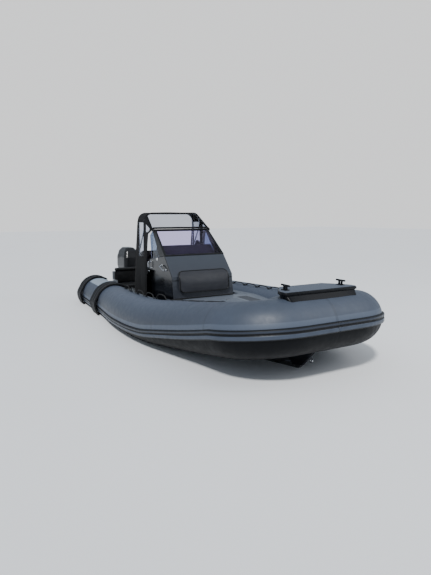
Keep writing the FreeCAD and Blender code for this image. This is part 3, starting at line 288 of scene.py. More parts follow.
def console_gelcoat():
    """Charcoal gelcoat in front and above; the sides and the waist behind the front fairing are painted near
    black as shade, tinted blue as painted reflection.
    """
    m = Shader("console_gelcoat", CHARCOAL, 0.26, metal=0.25, Coat_Weight=0.7, Coat_Roughness=0.06)
    # Painted shade: faces that look to the side, and the waist inboard of the fairing aft of x 3.78, are
    # darkened.
    side = m.ramp(m.math("ABSOLUTE", m.normal("Y")), 0.5, 0.8)
    inner = m.ramp(m.math("ABSOLUTE", m.part("Y")), 0.596, 0.604, 1.0, 0.0)
    painted_shade = m.math("MAXIMUM", side, m.math("MULTIPLY", inner, m.ramp(m.part("X"), 3.79, 3.77, 0.0, 1.0)))
    front = m.tone(CHARCOAL, 0.92, 1.08, 2.4, 4.0)
    front = m.mix(m.ramp(m.part("Z"), 0.55, 1.25, 0.45, 0.0), front, (0.19, 0.185, 0.195))
    m.feed("Coat Weight", m.ramp(painted_shade, 0, 1, 0.6, 0.12))
    m.feed("Specular IOR Level", m.ramp(painted_shade, 0, 1, 0.5, 0.25))
    m.feed("Metallic", m.ramp(painted_shade, 0, 1, 0.25, 0.0))
    # The shaded parts get near black with a blue tint: painted shade and painted reflection.
    m.color(m.mix(painted_shade, front, m.mix(m.noise(2.0, 4.0), (0.024, 0.029, 0.042), (0.034, 0.041, 0.060))))
    m.wear(0.20, 0.27, 1.6, 2.0)
    return m.bump(m.noise(1.2, 1.0), 0.05, 0.01).mat


def plastic(name, color, rough):
    m = Shader(name, color, rough, Specular_IOR_Level=0.35)
    m.color(m.tone(color, 0.88, 1.15, 5.0, 5.0, 0.6)).wear(rough - 0.06, rough + 0.1, 35.0)
    return m.bump(m.cells(260.0), 0.18, 0.0006).mat


def nonslip(name, color):
    """Moulded non-slip: rows of small diamonds."""
    m = Shader(name, color, 0.62)
    studs = m.math("MULTIPLY", m.waves(38.0, "X"), m.waves(38.0, "Y"))
    tone = m.tone(color, 0.88, 1.12, 7.0, 5.0, 0.65)
    m.color(m.mix(m.math("MULTIPLY", studs, 0.25), tone, shade(color, 1.3)))
    m.bump(studs, 0.6, 0.0016)
    return m.bump(m.noise(220.0), 0.2, 0.0006).mat


def step_moulding():
    """Lighter non-slip tread where the step is level, dark moulding on its faces."""
    m = Shader("step_moulding", (0.3, 0.33, 0.37), 0.5)
    level = m.ramp(m.normal("Z"), 0.93, 0.98)
    studs = m.math("MULTIPLY", m.waves(30.0, "X"), m.waves(30.0, "Y"))
    blotch = m.noise(6.0, 5.0, 0.65)
    tread = m.mix(blotch, (0.27, 0.30, 0.35), (0.33, 0.36, 0.41))
    m.color(m.mix(level, m.mix(blotch, (0.016, 0.024, 0.045), (0.03, 0.04, 0.065)), tread))
    m.feed("Specular IOR Level", m.ramp(level, 0, 1, 0.15, 0.5))
    m.rough(m.ramp(level, 0, 1, 0.35, 0.65))
    m.bump(m.math("MULTIPLY", studs, level), 0.6, 0.0016)
    return m.bump(m.noise(120.0), 0.15, 0.0008).mat


def leather(name, color):
    """Marine upholstery vinyl with a fine grain and a little sheen."""
    m = Shader(name, color, 0.46, Sheen_Weight=0.04, Sheen_Roughness=0.5, Specular_IOR_Level=0.35)
    m.color(m.tone(color, 0.85, 1.25, 4.0, 5.0, 0.6)).wear(0.38, 0.56, 16.0, 4.0)
    m.bump(m.cells(420.0, "SMOOTH_F1"), 0.22, 0.0007)
    return m.bump(m.noise(26.0, 3.0), 0.2, 0.002).mat


def cloth(name, color):
    """Acrylic canvas with a plain weave."""
    m = Shader(name, color, 0.85, Sheen_Weight=0.03, Sheen_Roughness=0.6, Specular_IOR_Level=0.15)
    weave = m.math("MULTIPLY", m.waves(300.0, "X", m.solid), m.waves(300.0, "Z", m.solid))
    tone = m.tone(color, 0.8, 1.3, 3.0, 6.0, 0.65)
    m.color(m.mix(m.math("MULTIPLY", weave, 0.35), tone, shade(color, 1.6)))
    m.bump(weave, 0.3, 0.0005)
    return m.bump(m.noise(11.0, 4.0, 0.6), 0.4, 0.004).mat


def steel(name, color, rough):
    """Polished or painted metal with fine brushing."""
    m = Shader(name, color, rough, metal=1.0)
    m.color(m.tone(color, 0.86, 1.06, 12.0, 5.0, 0.6)).wear(rough - 0.08, rough + 0.12, 60.0, 5.0, 0.7)
    return m.bump(m.noise(500.0, 2.0, where=m.scaled((1, 1, 0.08), m.solid)), 0.08, 0.0004).mat


def paint(name, color, rough, coat=0.6):
    m = Shader(name, color, rough, Coat_Weight=coat, Coat_Roughness=0.04, Specular_IOR_Level=0.35)
    m.color(m.tone(color, 0.9, 1.15, 3.0, 4.0)).wear(rough - 0.05, rough + 0.08, 40.0, 4.0)
    return m.bump(m.noise(14.0, 3.0), 0.04, 0.002).mat


def clear_vinyl(tint, rough):
    """Clear soft sheet with a ripple."""
    m = Shader("clear_vinyl", tint, rough, Transmission_Weight=1.0, IOR=1.08, Specular_IOR_Level=0.6)
    m.color(m.tone(tint, 0.95, 1.0, 2.0, 3.0))
    m.rough(m.ramp(m.noise(18.0, 5.0), 0.4, 0.8, rough, rough + 0.05))
    return m.bump(m.noise(9.0, 2.0), 0.35, 0.01).mat


def tinted_glass():
    """Lilac tinted screen, with darker side panes."""
    m = Shader("tinted_glass", (0.84, 0.80, 0.95), 0.01, Transmission_Weight=1.0, IOR=1.2,
               Specular_IOR_Level=0.5)
    side = m.ramp(m.math("ABSOLUTE", m.normal("Y")), 0.5, 0.9)
    haze = m.mix(m.noise(1.4, 3.0), (0.80, 0.76, 0.93), (0.86, 0.82, 0.96))
    m.color(m.mix(side, haze, (0.50, 0.56, 0.66)))
    return m.rough(m.ramp(m.noise(18.0, 5.0), 0.4, 0.8, 0.01, 0.05)).mat


def rope(name, color):
    m = Shader(name, color, 0.7, coords="UV")
    strands = m.waves(6.0, "DIAGONAL", m.scaled((30.0, 1.0, 1.0)))
    m.color(m.mix(strands, shade(color, 0.7), shade(color, 1.5)))
    return m.bump(strands, 0.6, 0.002).mat


MATS = {
    "tube": tube_cloth(),
    # Strake tones: the mid tone is a painted highlight on ridge 1's top, and the dark groove tone is also
    # painted shade on the slopes that face down
    "strake": rubber("strake_rubber", (0.165, 0.19, 0.235), 0.40),
    "ridge": rubber("ridge_rubber", shade(SLATE, 0.95), 0.4),
    "groove_and_shade": rubber("groove_and_shade_rubber", (0.035, 0.045, 0.065), 0.5),
    "fender": rubber("fender_cloth", (0.03, 0.035, 0.05), 0.6, 320.0),
    "tread": nonslip("deck_tread", (0.22, 0.235, 0.26)),
    "patch": rubber("patch_rubber", shade(SLATE, 0.55), 0.5),
    "patch_cloth": rubber("apron_cloth", shade(SLATE, 0.9), 0.45, 300.0),
    "hull": hull_gelcoat(),
    "deck": deck_gelcoat(),
    "lid": nonslip("lid_gelcoat", shade(DECK, 0.92)),
    "console": console_gelcoat(),
    "bench": gelcoat("bench_gelcoat", (0.42, 0.44, 0.46), 0.28),
    "step": step_moulding(),
    "moulding": plastic("black_moulding", (0.015, 0.018, 0.027), 0.38),
    "screen": tinted_glass(),
    "vinyl": clear_vinyl((0.80, 0.82, 0.86), 0.06),
    "canvas": cloth("canvas", CANVAS),
    "seat": leather("upholstery", shade(VINYL, 0.7)),
    "pad": leather("pad_vinyl", (0.155, 0.16, 0.18)),
    "chrome": steel("rail_steel", (0.72, 0.73, 0.75), 0.18),
    "dark_steel": steel("dark_steel", (0.16, 0.165, 0.18), 0.4),
    "rope": rope("rope", (0.03, 0.03, 0.034)),
    "nonslip": nonslip("pad_nonslip", (0.52, 0.57, 0.62)),
    "cowl": paint("cowl_paint", (0.014, 0.018, 0.030), 0.36, 0.10),
    "leg": paint("leg_paint", (0.045, 0.047, 0.055), 0.35),
    "iron": rubber("engine_iron", (0.25, 0.25, 0.26), 0.6),
    "prop": steel("prop_steel", (0.66, 0.67, 0.68), 0.22),
    "trim": plastic("trim_black", (0.018, 0.018, 0.02), 0.35),
    "light": plastic("pale_fitting", (0.72, 0.73, 0.74), 0.4),
    "screen_dark": paint("display_glass", (0.02, 0.025, 0.035), 0.06, 1.0),
}
NODE_MATS = {
    "hull_shell": "hull", "foredeck": "deck", "side_decks": "deck", "stern_block": "deck",
    "foredeck_hatch": "lid", "anchor_hatch": "lid", "stem_guard": "dark_steel", "towing_eyes": "chrome",
    "tube_pads": "nonslip", "bow_bollards": "dark_steel", "console_shell": "console",
    "console_door": "console", "console_rails": "chrome", "dash_panel": "moulding", "helm_wheel": "trim",
    "throttle": "moulding", "windscreen_frame": "moulding", "windscreen_glass": "screen",
    "canopy_frame": "chrome",
    "helm_seat_base": "console", "bench_base": "bench", "outboard_bracket": "leg", "outboard_swivel": "leg",
    "outboard_leg": "leg", "outboard_cowl": "cowl", "engine_block": "iron", "propeller": "prop",
}


# Pieces

def piece(name, mesh, mat, body="boat", hides=()):
    """Links a mesh or curve as a piece that rides on a body."""
    obj = bpy.data.objects.new(name, mesh)
    bpy.context.scene.collection.objects.link(obj)
    mesh.materials.append(MATS[mat])
    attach(obj, body)
    if hides:
        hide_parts(*hides)
    return obj


def new_mesh(name, verts, faces):
    mesh = bpy.data.meshes.new(name)
    mesh.from_pydata(verts, [], faces)
    for poly in mesh.polygons:
        poly.use_smooth = True
    return mesh


def skin(name, rows, loop=False, uvs=None):
    """A mesh of quads through rows of points; loop closes each row."""
    wide = len(rows[0])
    faces, corners = [], []
    for i in range(len(rows) - 1):
        for j in range(wide if loop else wide - 1):
            k = (j + 1) % wide
            faces.append((i * wide + j, i * wide + k, (i + 1) * wide + k, (i + 1) * wide + j))
            corners += [(i, j), (i, j + 1), (i + 1, j + 1), (i + 1, j)]
    mesh = new_mesh(name, [p for row in rows for p in row], faces)
    if uvs:
        layer = mesh.uv_layers.new(name="UVMap")
        for spot, (i, j) in zip(layer.data, corners):
            spot.uv = uvs(i, j)
    return mesh


def recalc(mesh, weld=False):
    """Turns a mesh's faces outward, after joining its double points if weld is set."""
    bm = bmesh.new()
    bm.from_mesh(mesh)
    if weld:
        bmesh.ops.remove_doubles(bm, verts=bm.verts, dist=1e-5)
    bmesh.ops.recalc_face_normals(bm, faces=bm.faces)
    bm.to_mesh(mesh)
    bm.free()
    return mesh


def bevel(obj, width, segments=2, angle=30.0):
    mod = obj.modifiers.new("bevel", "BEVEL")
    mod.width = width
    mod.segments = segments
    mod.limit_method = "ANGLE"
    mod.angle_limit = math.radians(angle)
    mod.harden_normals = False


def thicken(obj, t, offset=0.0):
    mod = obj.modifiers.new("thickness", "SOLIDIFY")
    mod.thickness = t
    mod.offset = offset


def pipe(name, lines, radius, mat, body="boat", hides=(), cyclic=False, rounds=3):
    """Round bars or cords along lists of points, as one curve object."""
    curve = bpy.data.curves.new(name, "CURVE")
    curve.dimensions = "3D"
    curve.bevel_depth = radius
    curve.bevel_resolution = rounds
    curve.use_fill_caps = True
    for points in lines:
        spline = curve.splines.new("NURBS")
        spline.points.add(len(points) - 1)
        for spot, p in zip(spline.points, points):
            spot.co = (*p, 1)
        spline.order_u = 3
        spline.use_endpoint_u = not cyclic
        spline.use_cyclic_u = cyclic
        spline.resolution_u = 6
    return piece(name, curve, mat, body, hides)


def around(count):
    return [2 * math.pi * i / count for i in range(count)]


def scatter(name, spots, profile, mat, body="boat", count=16):
    """Turned pieces, such as bolts, at many (place, axis) spots, from one profile of (radius, height)."""
    verts, faces = [], []
    for place, axis in spots:
        place = Vector(place)
        turn = UP.rotation_difference(Vector(axis)).to_matrix()
        base = len(verts)
        for r, h in profile:
            verts += [place + turn @ Vector((r * math.cos(a), r * math.sin(a), h)) for a in around(count)]
        for k in range(base, base + (len(profile) - 1) * count, count):
            for i in range(count):
                j = (i + 1) % count
                faces.append((k + i, k + j, k + count + j, k + count + i))
    return piece(name, recalc(new_mesh(name, verts, faces), weld=True), mat, body)


BOLT = [(0.0, 0.006), (0.006, 0.0058), (0.009, 0.004), (0.0098, 0.001), (0.0098, -0.003)]


# The tube's centreline

def bends(side):
    """Runs and bends of the centreline, from the nose aft: (length, start, direction, centre, axis)."""
    shares = [0.0] + [row[3] for row in reversed(TUBE_LINE)]
    points = [Vector((x, side * y, z)) for x, y, z, _ in reversed(TUBE_LINE)]
    points.insert(0, Vector((points[0].x, 0, points[0].z)))
    made = []
    at = points[0]
    for i in range(1, len(points) - 1):
        u, w = points[i] - points[i - 1], points[i + 1] - points[i]
        tangent = shares[i] * min(u.length, w.length)
        u.normalize()
        w.normalize()
        turn = u.angle(w)
        start = points[i] - u * tangent
        made.append(((start - at).length, at, u, None, None))
        axis = u.cross(w).normalized()
        radius = tangent / math.tan(turn / 2)
        centre = start + axis.cross(u) * radius
        made.append((radius * turn, start, u, centre, axis))
        at = points[i] + w * tangent
    made.append(((points[-1] - at).length, at, (points[-1] - at).normalized(), None, None))
    return made


BENDS = {side: bends(side) for side, _ in SIDES}
TUBE_LENGTH = sum(row[0] for row in BENDS[1])


def station(side, s):
    """Centre, direction aft, and outboard direction at a distance s from the nose."""
    left = s
    for i, (length, start, way, centre, axis) in enumerate(BENDS[side]):
        if left <= length or i == len(BENDS[side]) - 1:
            if centre is None:
                at, ahead = start + way * left, way
            else:
                turn = Matrix.Rotation(left / (start - centre).length, 3, axis)
                at, ahead = centre + turn @ (start - centre), turn @ way
            return at, ahead, (UP.cross(ahead) * -side).normalized()
        left -= length


def station_at(side, x):
    low, high = 0.2, TUBE_LENGTH
    for _ in range(30):
        mid = (low + high) / 2
        if station(side, mid)[0].x > x:
            low = mid
        else:
            high = mid
    return low


def on_tube(side, s, degrees, height):
    """A point over the skin at an angle from the crest, outboard positive, and the directions there."""
    at, ahead, out = station(side, s)
    up = out.cross(ahead)
    if up.z < 0:
        up = -up
    a = math.radians(degrees)
    away = up * math.cos(a) + out * math.sin(a)
    return at + away * (TUBE_R + height), ahead, away


def tube_spot(side, s, degrees):
    """Place and axis of a fitting set a millimetre into the skin."""
    place, _, away = on_tube(side, s, degrees, -0.001)
    return place, away


def strake_top(side, s):
    """Angle from the crest to the strake's top edge."""
    x = station(side, s)[0].x
    return 90 + STRAKE_TOP - max(0.0, x - STRAKE_TURN_X) * STRAKE_CLIMB


def tube_rows(side, s0, s1, tail=False):
    """Rings of the tube between two stations, with their (distance, angle) coordinates."""
    count = max(2, round((s1 - s0) / STEP))
    rings, marks = [], []
    for i in range(count + 1):
        s = s0 + (s1 - s0) * i / count
        top = strake_top(side, s)
        angles = [-180 + 360 * j / AROUND for j in range(AROUND)]
        rings.append([on_tube(side, s, a, 0.0)[0] for a in angles])
        marks.append((s, top))
    if tail:
        at, ahead, _ = station(side, s1)
        for back, r in TAIL[1:]:
            rings.append([at + ahead * back + (p - at) * (max(r, 0.0005) / TUBE_R) for p in rings[count]])
            marks.append((s1 + back, marks[count][1]))
    return rings, marks


def tube_mesh(name, rings, marks):
    def uv(i, j):
        return marks[i][0], -180 + 360 * j / AROUND - marks[i][1]
    return recalc(skin(name, rings, True, uv), weld=True)


def add_tubes():
    for side, word in SIDES:
        join = station_at(side, BOW_CHAMBER_X)
        rings, marks = tube_rows(side, join, TUBE_LENGTH, tail=True)
        piece(f"tube_{word}_skin", tube_mesh("side", rings, marks), "tube", hides=[f"tube_{word}"])
    join = station_at(1, BOW_CHAMBER_X)
    port = tube_rows(1, 0.0, join)
    star = tube_rows(-1, 0.0, join)
    rings = port[0][::-1] + star[0][1:]
    marks = port[1][::-1] + star[1][1:]
    piece("tube_bow_skin", tube_mesh("bow", rings, marks), "tube", hides=["tube_bow"])


def add_strakes():
    for side, word in SIDES:
        count = round(TUBE_LENGTH / STEP)
        rows = []
        for i in range(count + 1):
            s = TUBE_LENGTH * i / count
            top = strake_top(side, s)
            rows.append([on_tube(side, s, top + a, h)[0] for a, h in STRAKE_PROFILE])
        ends = [[(row[0] + row[-1]) * 0.5] * len(row) for row in (rows[0], rows[-1])]
        rows = [ends[0], *rows, ends[1]]
        mesh = skin("strake", rows)
        piece(f"strake_{word}_skin", mesh, "strake", hides=[f"strake_{word}"])
        mesh.materials.append(MATS["groove_and_shade"])
        mesh.materials.append(MATS["ridge"])
        # Each run takes its tone from STRAKE_TONES: painted highlight on ridge 1's top, painted shade on the
        # slopes that face down
        for n, poly in enumerate(mesh.polygons):
            poly.material_index = STRAKE_TONES[n % len(STRAKE_TONES)]
        recalc(mesh)


# Camera and stage

EYE = Vector((11.344, -3.65, 1.95))
HEADING, PITCH, ROLL = 28.39, 8.874, -0.228
FOCAL_PX, FRAME_PX = 448.7, 575.0
SENSOR_MM = 36.0
FLOOR_REACH = 60.0


def add_camera():
    data = bpy.data.cameras.new("camera")
    data.sensor_fit = "VERTICAL"
    data.sensor_height = SENSOR_MM
    data.lens = FOCAL_PX / FRAME_PX * SENSOR_MM
    data.clip_end = 200.0
    cam = bpy.data.objects.new("camera", data)
    bpy.context.scene.collection.objects.link(cam)
    h, p = math.radians(HEADING), math.radians(PITCH)
    ahead = Vector((-math.cos(h) * math.cos(p), math.sin(h) * math.cos(p), -math.sin(p)))
    turn = ahead.to_track_quat("-Z", "Y").to_matrix().to_4x4()
    cam.matrix_world = Matrix.Translation(EYE) @ turn @ Matrix.Rotation(math.radians(ROLL), 4, "Z")
    bpy.context.scene.camera = cam


def add_world():
    """A plain sky that lights the boat softly and looks brighter to the camera and through glass."""
    world = bpy.data.worlds.new("sky")
    bpy.context.scene.world = world
    world.use_nodes = True
    tree = world.node_tree
    tree.nodes.clear()
    kinds = ("OutputWorld", "Background", "Background", "LightPath", "Math", "MixShader")
    out, seen, light, path, both, mix = (tree.nodes.new(f"ShaderNode{kind}") for kind in kinds)
    for node, color, strength in ((seen, (0.95, 0.955, 0.96), 1.25), (light, (0.88, 0.92, 0.97), 0.62)):
        node.inputs["Color"].default_value = (*linear(color), 1)
        node.inputs["Strength"].default_value = strength
    both.operation = "MAXIMUM"
    for a, b in ((path.outputs["Is Camera Ray"], both.inputs[0]),
                 (path.outputs["Is Transmission Ray"], both.inputs[1]),
                 (both.outputs[0], mix.inputs["Fac"]), (light.outputs[0], mix.inputs[1]),
                 (seen.outputs[0], mix.inputs[2]), (mix.outputs[0], out.inputs["Surface"])):
        tree.links.new(a, b)


def add_floor():
    r = FLOOR_REACH
    mesh = new_mesh("floor", [(-r, -r, 0), (r, -r, 0), (r, r, 0), (-r, r, 0)], [(0, 1, 2, 3)])
    floor = bpy.data.objects.new("floor", mesh)
    bpy.context.scene.collection.objects.link(floor)
    m = Shader("floor", (0.93, 0.935, 0.94), 0.8)
    m.color(m.mix(m.noise(0.35, 2.0), (0.92, 0.925, 0.93), (0.94, 0.945, 0.95)))
    mesh.materials.append(m.mat)


def add_light(name, kind, energy, place, aim, size):
    """A lamp aimed at a point; size is metres for an area and degrees for a sun."""
    data = bpy.data.lights.new(name, kind)
    data.energy = energy
    if kind == "AREA":
        data.size = size
    else:
        data.angle = math.radians(size)
    lamp = bpy.data.objects.new(name, data)
    lamp.location = place
    lamp.rotation_euler = (Vector(aim) - Vector(place)).to_track_quat("-Z", "Y").to_euler()
    bpy.context.scene.collection.objects.link(lamp)


# Padded pieces, swelled as cloth

def slab(size, corner, channels, dip, step):
    """A closed block of quads, centred on its underside, with rounded plan corners.

    Returns its points, its faces and the points that stay put: underside, rim and channels."""
    lx, ly, lz = size
    nx, ny, nz = (max(2, round(v / step)) for v in size)
    index, points, faces = {}, [], []

    def spot(i, j, k):
        if (i, j, k) not in index:
            x, y = lx * (i / nx - 0.5), ly * (j / ny - 0.5)
            cx, cy = lx / 2 - corner, ly / 2 - corner
            a, b = (abs(x) - cx) / corner, (abs(y) - cy) / corner
            if a > 0 and b > 0:
                x = math.copysign(cx + corner * a * math.sqrt(1 - b * b / 2), x)
                y = math.copysign(cy + corner * b * math.sqrt(1 - a * a / 2), y)
            index[(i, j, k)] = len(points)
            points.append(Vector((x, y, lz * k / nz)))
        return index[(i, j, k)]

    for k, flip in ((0, True), (nz, False)):
        for i in range(nx):
            for j in range(ny):
                quad = [spot(i, j, k), spot(i + 1, j, k), spot(i + 1, j + 1, k), spot(i, j + 1, k)]
                faces.append(quad[::-1] if flip else quad)
    for k in range(nz):
        walls = [wall for i in range(nx) for wall in (((i, 0), (i + 1, 0)), ((i + 1, ny), (i, ny)))]
        walls += [wall for j in range(ny) for wall in (((0, j + 1), (0, j)), ((nx, j), (nx, j + 1)))]
        for a, b in walls:
            faces.append([spot(*a, k), spot(*b, k), spot(*b, k + 1), spot(*a, k + 1)])
    held = set()
    for (i, j, k), n in index.items():
        rim = i in (0, nx) or j in (0, ny)
        if k == 0 or (k == nz and rim):
            held.add(n)
        for across, place in channels:
            near = round(place * (nx if across == "x" else ny))
            if k == nz and (i if across == "x" else j) == near and not rim:
                held.add(n)
                points[n].z -= dip
    return points, faces, held


PADS = []
SWELL_FRAMES = 20


def add_pad(name, node, matrix, size, corner, mat, channels=(), dip=0.012, cap=0.02, body="boat",
            shape=None, step=0.02, welt=0.0035):
    """A padded piece that replaces a soft node, with piping of radius welt, if any, round its top edge.

    The matrix puts the block's underside in place, and cap is how far the cloth run may move a point."""
    points, faces, held = slab(size, corner, channels, dip, step)
    loop = dense([Vector((x, y, size[2])) for x, y in plan_loop(size[0], size[1], corner)], 0.03)
    if shape:
        points, loop = [shape(p) for p in points], [shape(p) for p in loop]
    mesh = new_mesh(name, [matrix @ p for p in points], faces)
    obj = piece(name, recalc(mesh), mat, body, hides=[node])
    group = obj.vertex_groups.new(name="held")
    group.add(sorted(held), 1.0, "REPLACE")
    PADS.append((obj, cap))
    if welt:
        pipe(f"{name}_welt", [[matrix @ p for p in loop]], welt, "trim", body, cyclic=True, rounds=2)


def run_cloth():
    """Cloth with pressure on every pad at once; keeps the last frame, within each pad's cap."""
    scene = bpy.context.scene
    for obj, _ in PADS:
        s = obj.modifiers.new("swell", "CLOTH").settings
        s.quality = 5
        s.mass = 0.2
        s.tension_stiffness = s.compression_stiffness = 12
        s.use_pressure = True
        s.uniform_pressure_force = 4.0
        s.effector_weights.gravity = 0.0
        s.vertex_group_mass = "held"
    for f in range(1, SWELL_FRAMES + 1):
        scene.frame_set(f)
    for obj, cap in PADS:
        seen = obj.evaluated_get(bpy.context.evaluated_depsgraph_get())
        moved = [v.co.copy() for v in seen.data.vertices]
        obj.modifiers.remove(obj.modifiers["swell"])
        for v, b in zip(obj.data.vertices, moved):
            step = b - v.co
            if step.length > cap:
                step *= cap / step.length
            v.co = v.co + step
    scene.frame_set(1)


def swell_pads():
    run_cloth()
    for obj, _ in PADS:
        mod = obj.modifiers.new("smooth", "SUBSURF")
        mod.levels = mod.render_levels = 1


# Small shapes

def span(node):
    """Lowest and highest corner of a CAD node."""
    verts = [v.co for v in NODES[node].data.vertices]
    return [Vector([pick(v[i] for v in verts) for i in range(3)]) for pick in (min, max)]


def plan_loop(lx, ly, corner, inset=0.0):
    """A rounded rectangle as (x, y) pairs, with five steps to a corner."""
    made = []
    r = max(corner - inset, 0.0005)
    for cx, cy, a0 in ((1, 1, 0), (-1, 1, 90), (-1, -1, 180), (1, -1, 270)):
        x, y = cx * (lx / 2 - inset - r), cy * (ly / 2 - inset - r)
        for a in (math.radians(a0 + 90 * i / 5) for i in range(6)):
            made.append((x + r * math.cos(a), y + r * math.sin(a)))
    return made


def plate(name, centre, right, up, size, mat, body="boat", corner=0.01, edge=0.002):
    """A thin rounded plate with a softened edge, standing out from its centre."""
    w, h, t = size
    right, up = Vector(right).normalized(), Vector(up).normalized()
    centre, out = Vector(centre), right.cross(up)
    rows = []
    for inset, high in ((0, 0.0), (0, t - edge), (edge * 0.4, t - edge * 0.3), (edge, t),
                        (min(w, h) * 0.45, t)):
        loop = plan_loop(w, h, corner, inset)
        rows.append([centre + right * x + up * y + out * high for x, y in loop])
    mesh = skin(name, rows, loop=True)
    n = len(rows[0])
    bm = bmesh.new()
    bm.from_mesh(mesh)
    bm.verts.ensure_lookup_table()
    bm.faces.new([bm.verts[4 * n + i] for i in range(n)])
    bm.to_mesh(mesh)
    bm.free()
    return piece(name, recalc(mesh), mat, body)


def dense(points, gap, closed=True):
    made = []
    ends = points[1:] + points[:1] if closed else points[1:]
    for a, b in zip(points, ends):
        n = max(1, round((b - a).length / gap))
        made += [a.lerp(b, i / n) for i in range(n)]
    if not closed:
        made.append(points[-1])
    return made


# Soft goods

def smooth(a, b, v):
    t = min(1.0, max(0.0, (v - a) / (b - a)))
    return t * t * (3 - 2 * t)


FENDER_FROM, FENDER_SWEEP = -35, 160       # degrees from the crest, and degrees round the tube
# The tie's places: degrees from the crest, height over the skin
FENDER_TIE = ((-33, 0.03), (-38, 0.02), (-46, 0.008), (-52, 0.008))
FENDER_EYE = [(0, 0.012), (0.014, 0.011), (0.022, 0.006), (0.034, 0.003), (0.036, 0.0)]


def add_fenders():
    """Two flat quilted fenders laid over the starboard tube, tied off inboard."""
    arc = math.radians(FENDER_SWEEP) * (TUBE_R + 0.02)
    ties, knots = [], []
    for k, (x0, x1) in enumerate(((0.76, 1.08), (2.04, 2.44))):
        middle = station_at(-1, (x0 + x1) / 2)

        def lie(p, middle=middle):
            a = FENDER_FROM + FENDER_SWEEP * (p.y / arc + 0.5)
            return on_tube(-1, middle - p.x, a, 0.003 + 0.037 * smooth(64, 92, a) + p.z)[0]

        add_pad(f"fender_{k}", "fenders", Matrix(), (x1 - x0, arc, 0.036), 0.03, "fender",
                channels=(("x", 0.34), ("x", 0.66)), dip=0.008, cap=0.010, shape=lie, step=0.03,
                welt=0.004)
        for s in (middle + 0.3 * (x1 - x0), middle - 0.3 * (x1 - x0)):
            ties.append([on_tube(-1, s, a, h)[0] for a, h in FENDER_TIE])
            knots.append(tube_spot(-1, s, -53))
    pipe("fender_ties", ties, 0.005, "rope")
    scatter("fender_eyes", knots, FENDER_EYE, "patch")


# The console cushion's inner and outer line, folded over the console's front edge
PAD_INNER = (Vector((4.034, 0, 1.007)), Vector((4.120, 0, 0.915)), Vector((4.1554, 0, 0.624)))
PAD_OUTER = (Vector((4.110, 0, 1.010)), Vector((4.204, 0, 0.900)), Vector((4.222, 0, 0.640)))
PAD_BEND, PAD_EASE = 0.30, 0.14


def along(line, t):
    """A point on a two-run line with its corner eased."""
    def at(v):
        if v < PAD_BEND:
            return line[0].lerp(line[1], v / PAD_BEND)
        return line[1].lerp(line[2], (v - PAD_BEND) / (1 - PAD_BEND))
    if abs(t - PAD_BEND) >= PAD_EASE:
        return at(t)
    a, b = at(PAD_BEND - PAD_EASE), at(PAD_BEND + PAD_EASE)
    k = (t - PAD_BEND + PAD_EASE) / (2 * PAD_EASE)
    return a.lerp(line[1], k).lerp(line[1].lerp(b, k), k)


def add_cushions():
    size = (0.419, 0.98, 0.07)

    def fold(p):
        t = p.x / size[0] + 0.5
        spot = along(PAD_INNER, t).lerp(along(PAD_OUTER, t), 0.08 + 0.78 * p.z / size[2])
        return Vector((spot.x, p.y, spot.z))

    add_pad("console_cushion", "console_pad", Matrix(), size, 0.09, "pad", cap=0.012, dip=0.004, shape=fold,
            welt=0.008)

    size = (0.44, 0.85, 0.088)
    place = Matrix.Translation((2.18, 0, 0.7605))
    add_pad("helm_cushion", "helm_seat_cushion", place, size, 0.06, "seat", (("y", 0.5), ("x", 0.24)),
            cap=0.014)

    size = (0.37, 0.85, 0.064)

    def lean(p):
        v = p.x / size[0] + 0.5
        return Vector((1.936 - 0.020 * v + p.z, p.y, 0.864 + 0.372 * v))

    add_pad("helm_backrest", "helm_seat_back", Matrix(), size, 0.07, "seat", (("y", 0.5),), cap=0.012,
            shape=lean)

    lo, hi = span("bench_seat")
    size = (0.468, 1.47, 0.066)
    thirds = (("y", 0.333), ("y", 0.667))
    place = Matrix.Translation(((lo.x + hi.x) / 2, 0, 0.353))
    add_pad("bench_cushion", "bench_seat", place, size, 0.05, "seat", (*thirds, ("x", 0.5)), cap=0.012,
            body="bench_lid")

    size = (0.262, 1.47, 0.060)

    def rise(p):
        v = p.x / size[0] + 0.5
        return Vector((0.901 + (1 - 0.2 * v) * p.z, p.y, 0.442 + size[0] * v))

    add_pad("bench_backrest", "bench_back", Matrix(), size, 0.03, "seat", thirds, cap=0.014, shape=rise,
            welt=None)
    rows = []
    half, count = 0.738, 74         # half length of the roll on top, and its sections
    for i in range(count + 1):
        y = -half + 2 * half * i / count
        end = half - abs(y)
        r = 0.0415 * min(1.0, math.sqrt(max(0.0, 1 - (1 - min(end, 0.03) / 0.03) ** 2)) + 0.02)
        seam = min(abs(y - q) for q in (-half / 3, half / 3))
        r *= 1 - 0.07 * math.exp(-(seam / 0.008) ** 2)
        rows.append([Vector((0.942 + r * math.cos(a), y, 0.742 + r * math.sin(a))) for a in around(28)])
    roll = piece("bench_roll", recalc(skin("roll", rows, loop=True), weld=True), "seat")


ROOF = (2.385, 2.783, 3.207)        # aft edge, where it turns down, foot at the screen
# Top, corner radius and lower edge, each where the roof turns down and at its foot
ROOF_TOP = (2.0475, 1.7385)
ROOF_HALF = 0.6195
ROOF_ROUND = (0.168, 0.035)
ROOF_LOW = (1.872, 1.69)
ROOF_STEPS = (16, 24)               # rows on the level and on the slope
WINDOW_ROWS, WINDOW_EDGE = (18, 38), 9


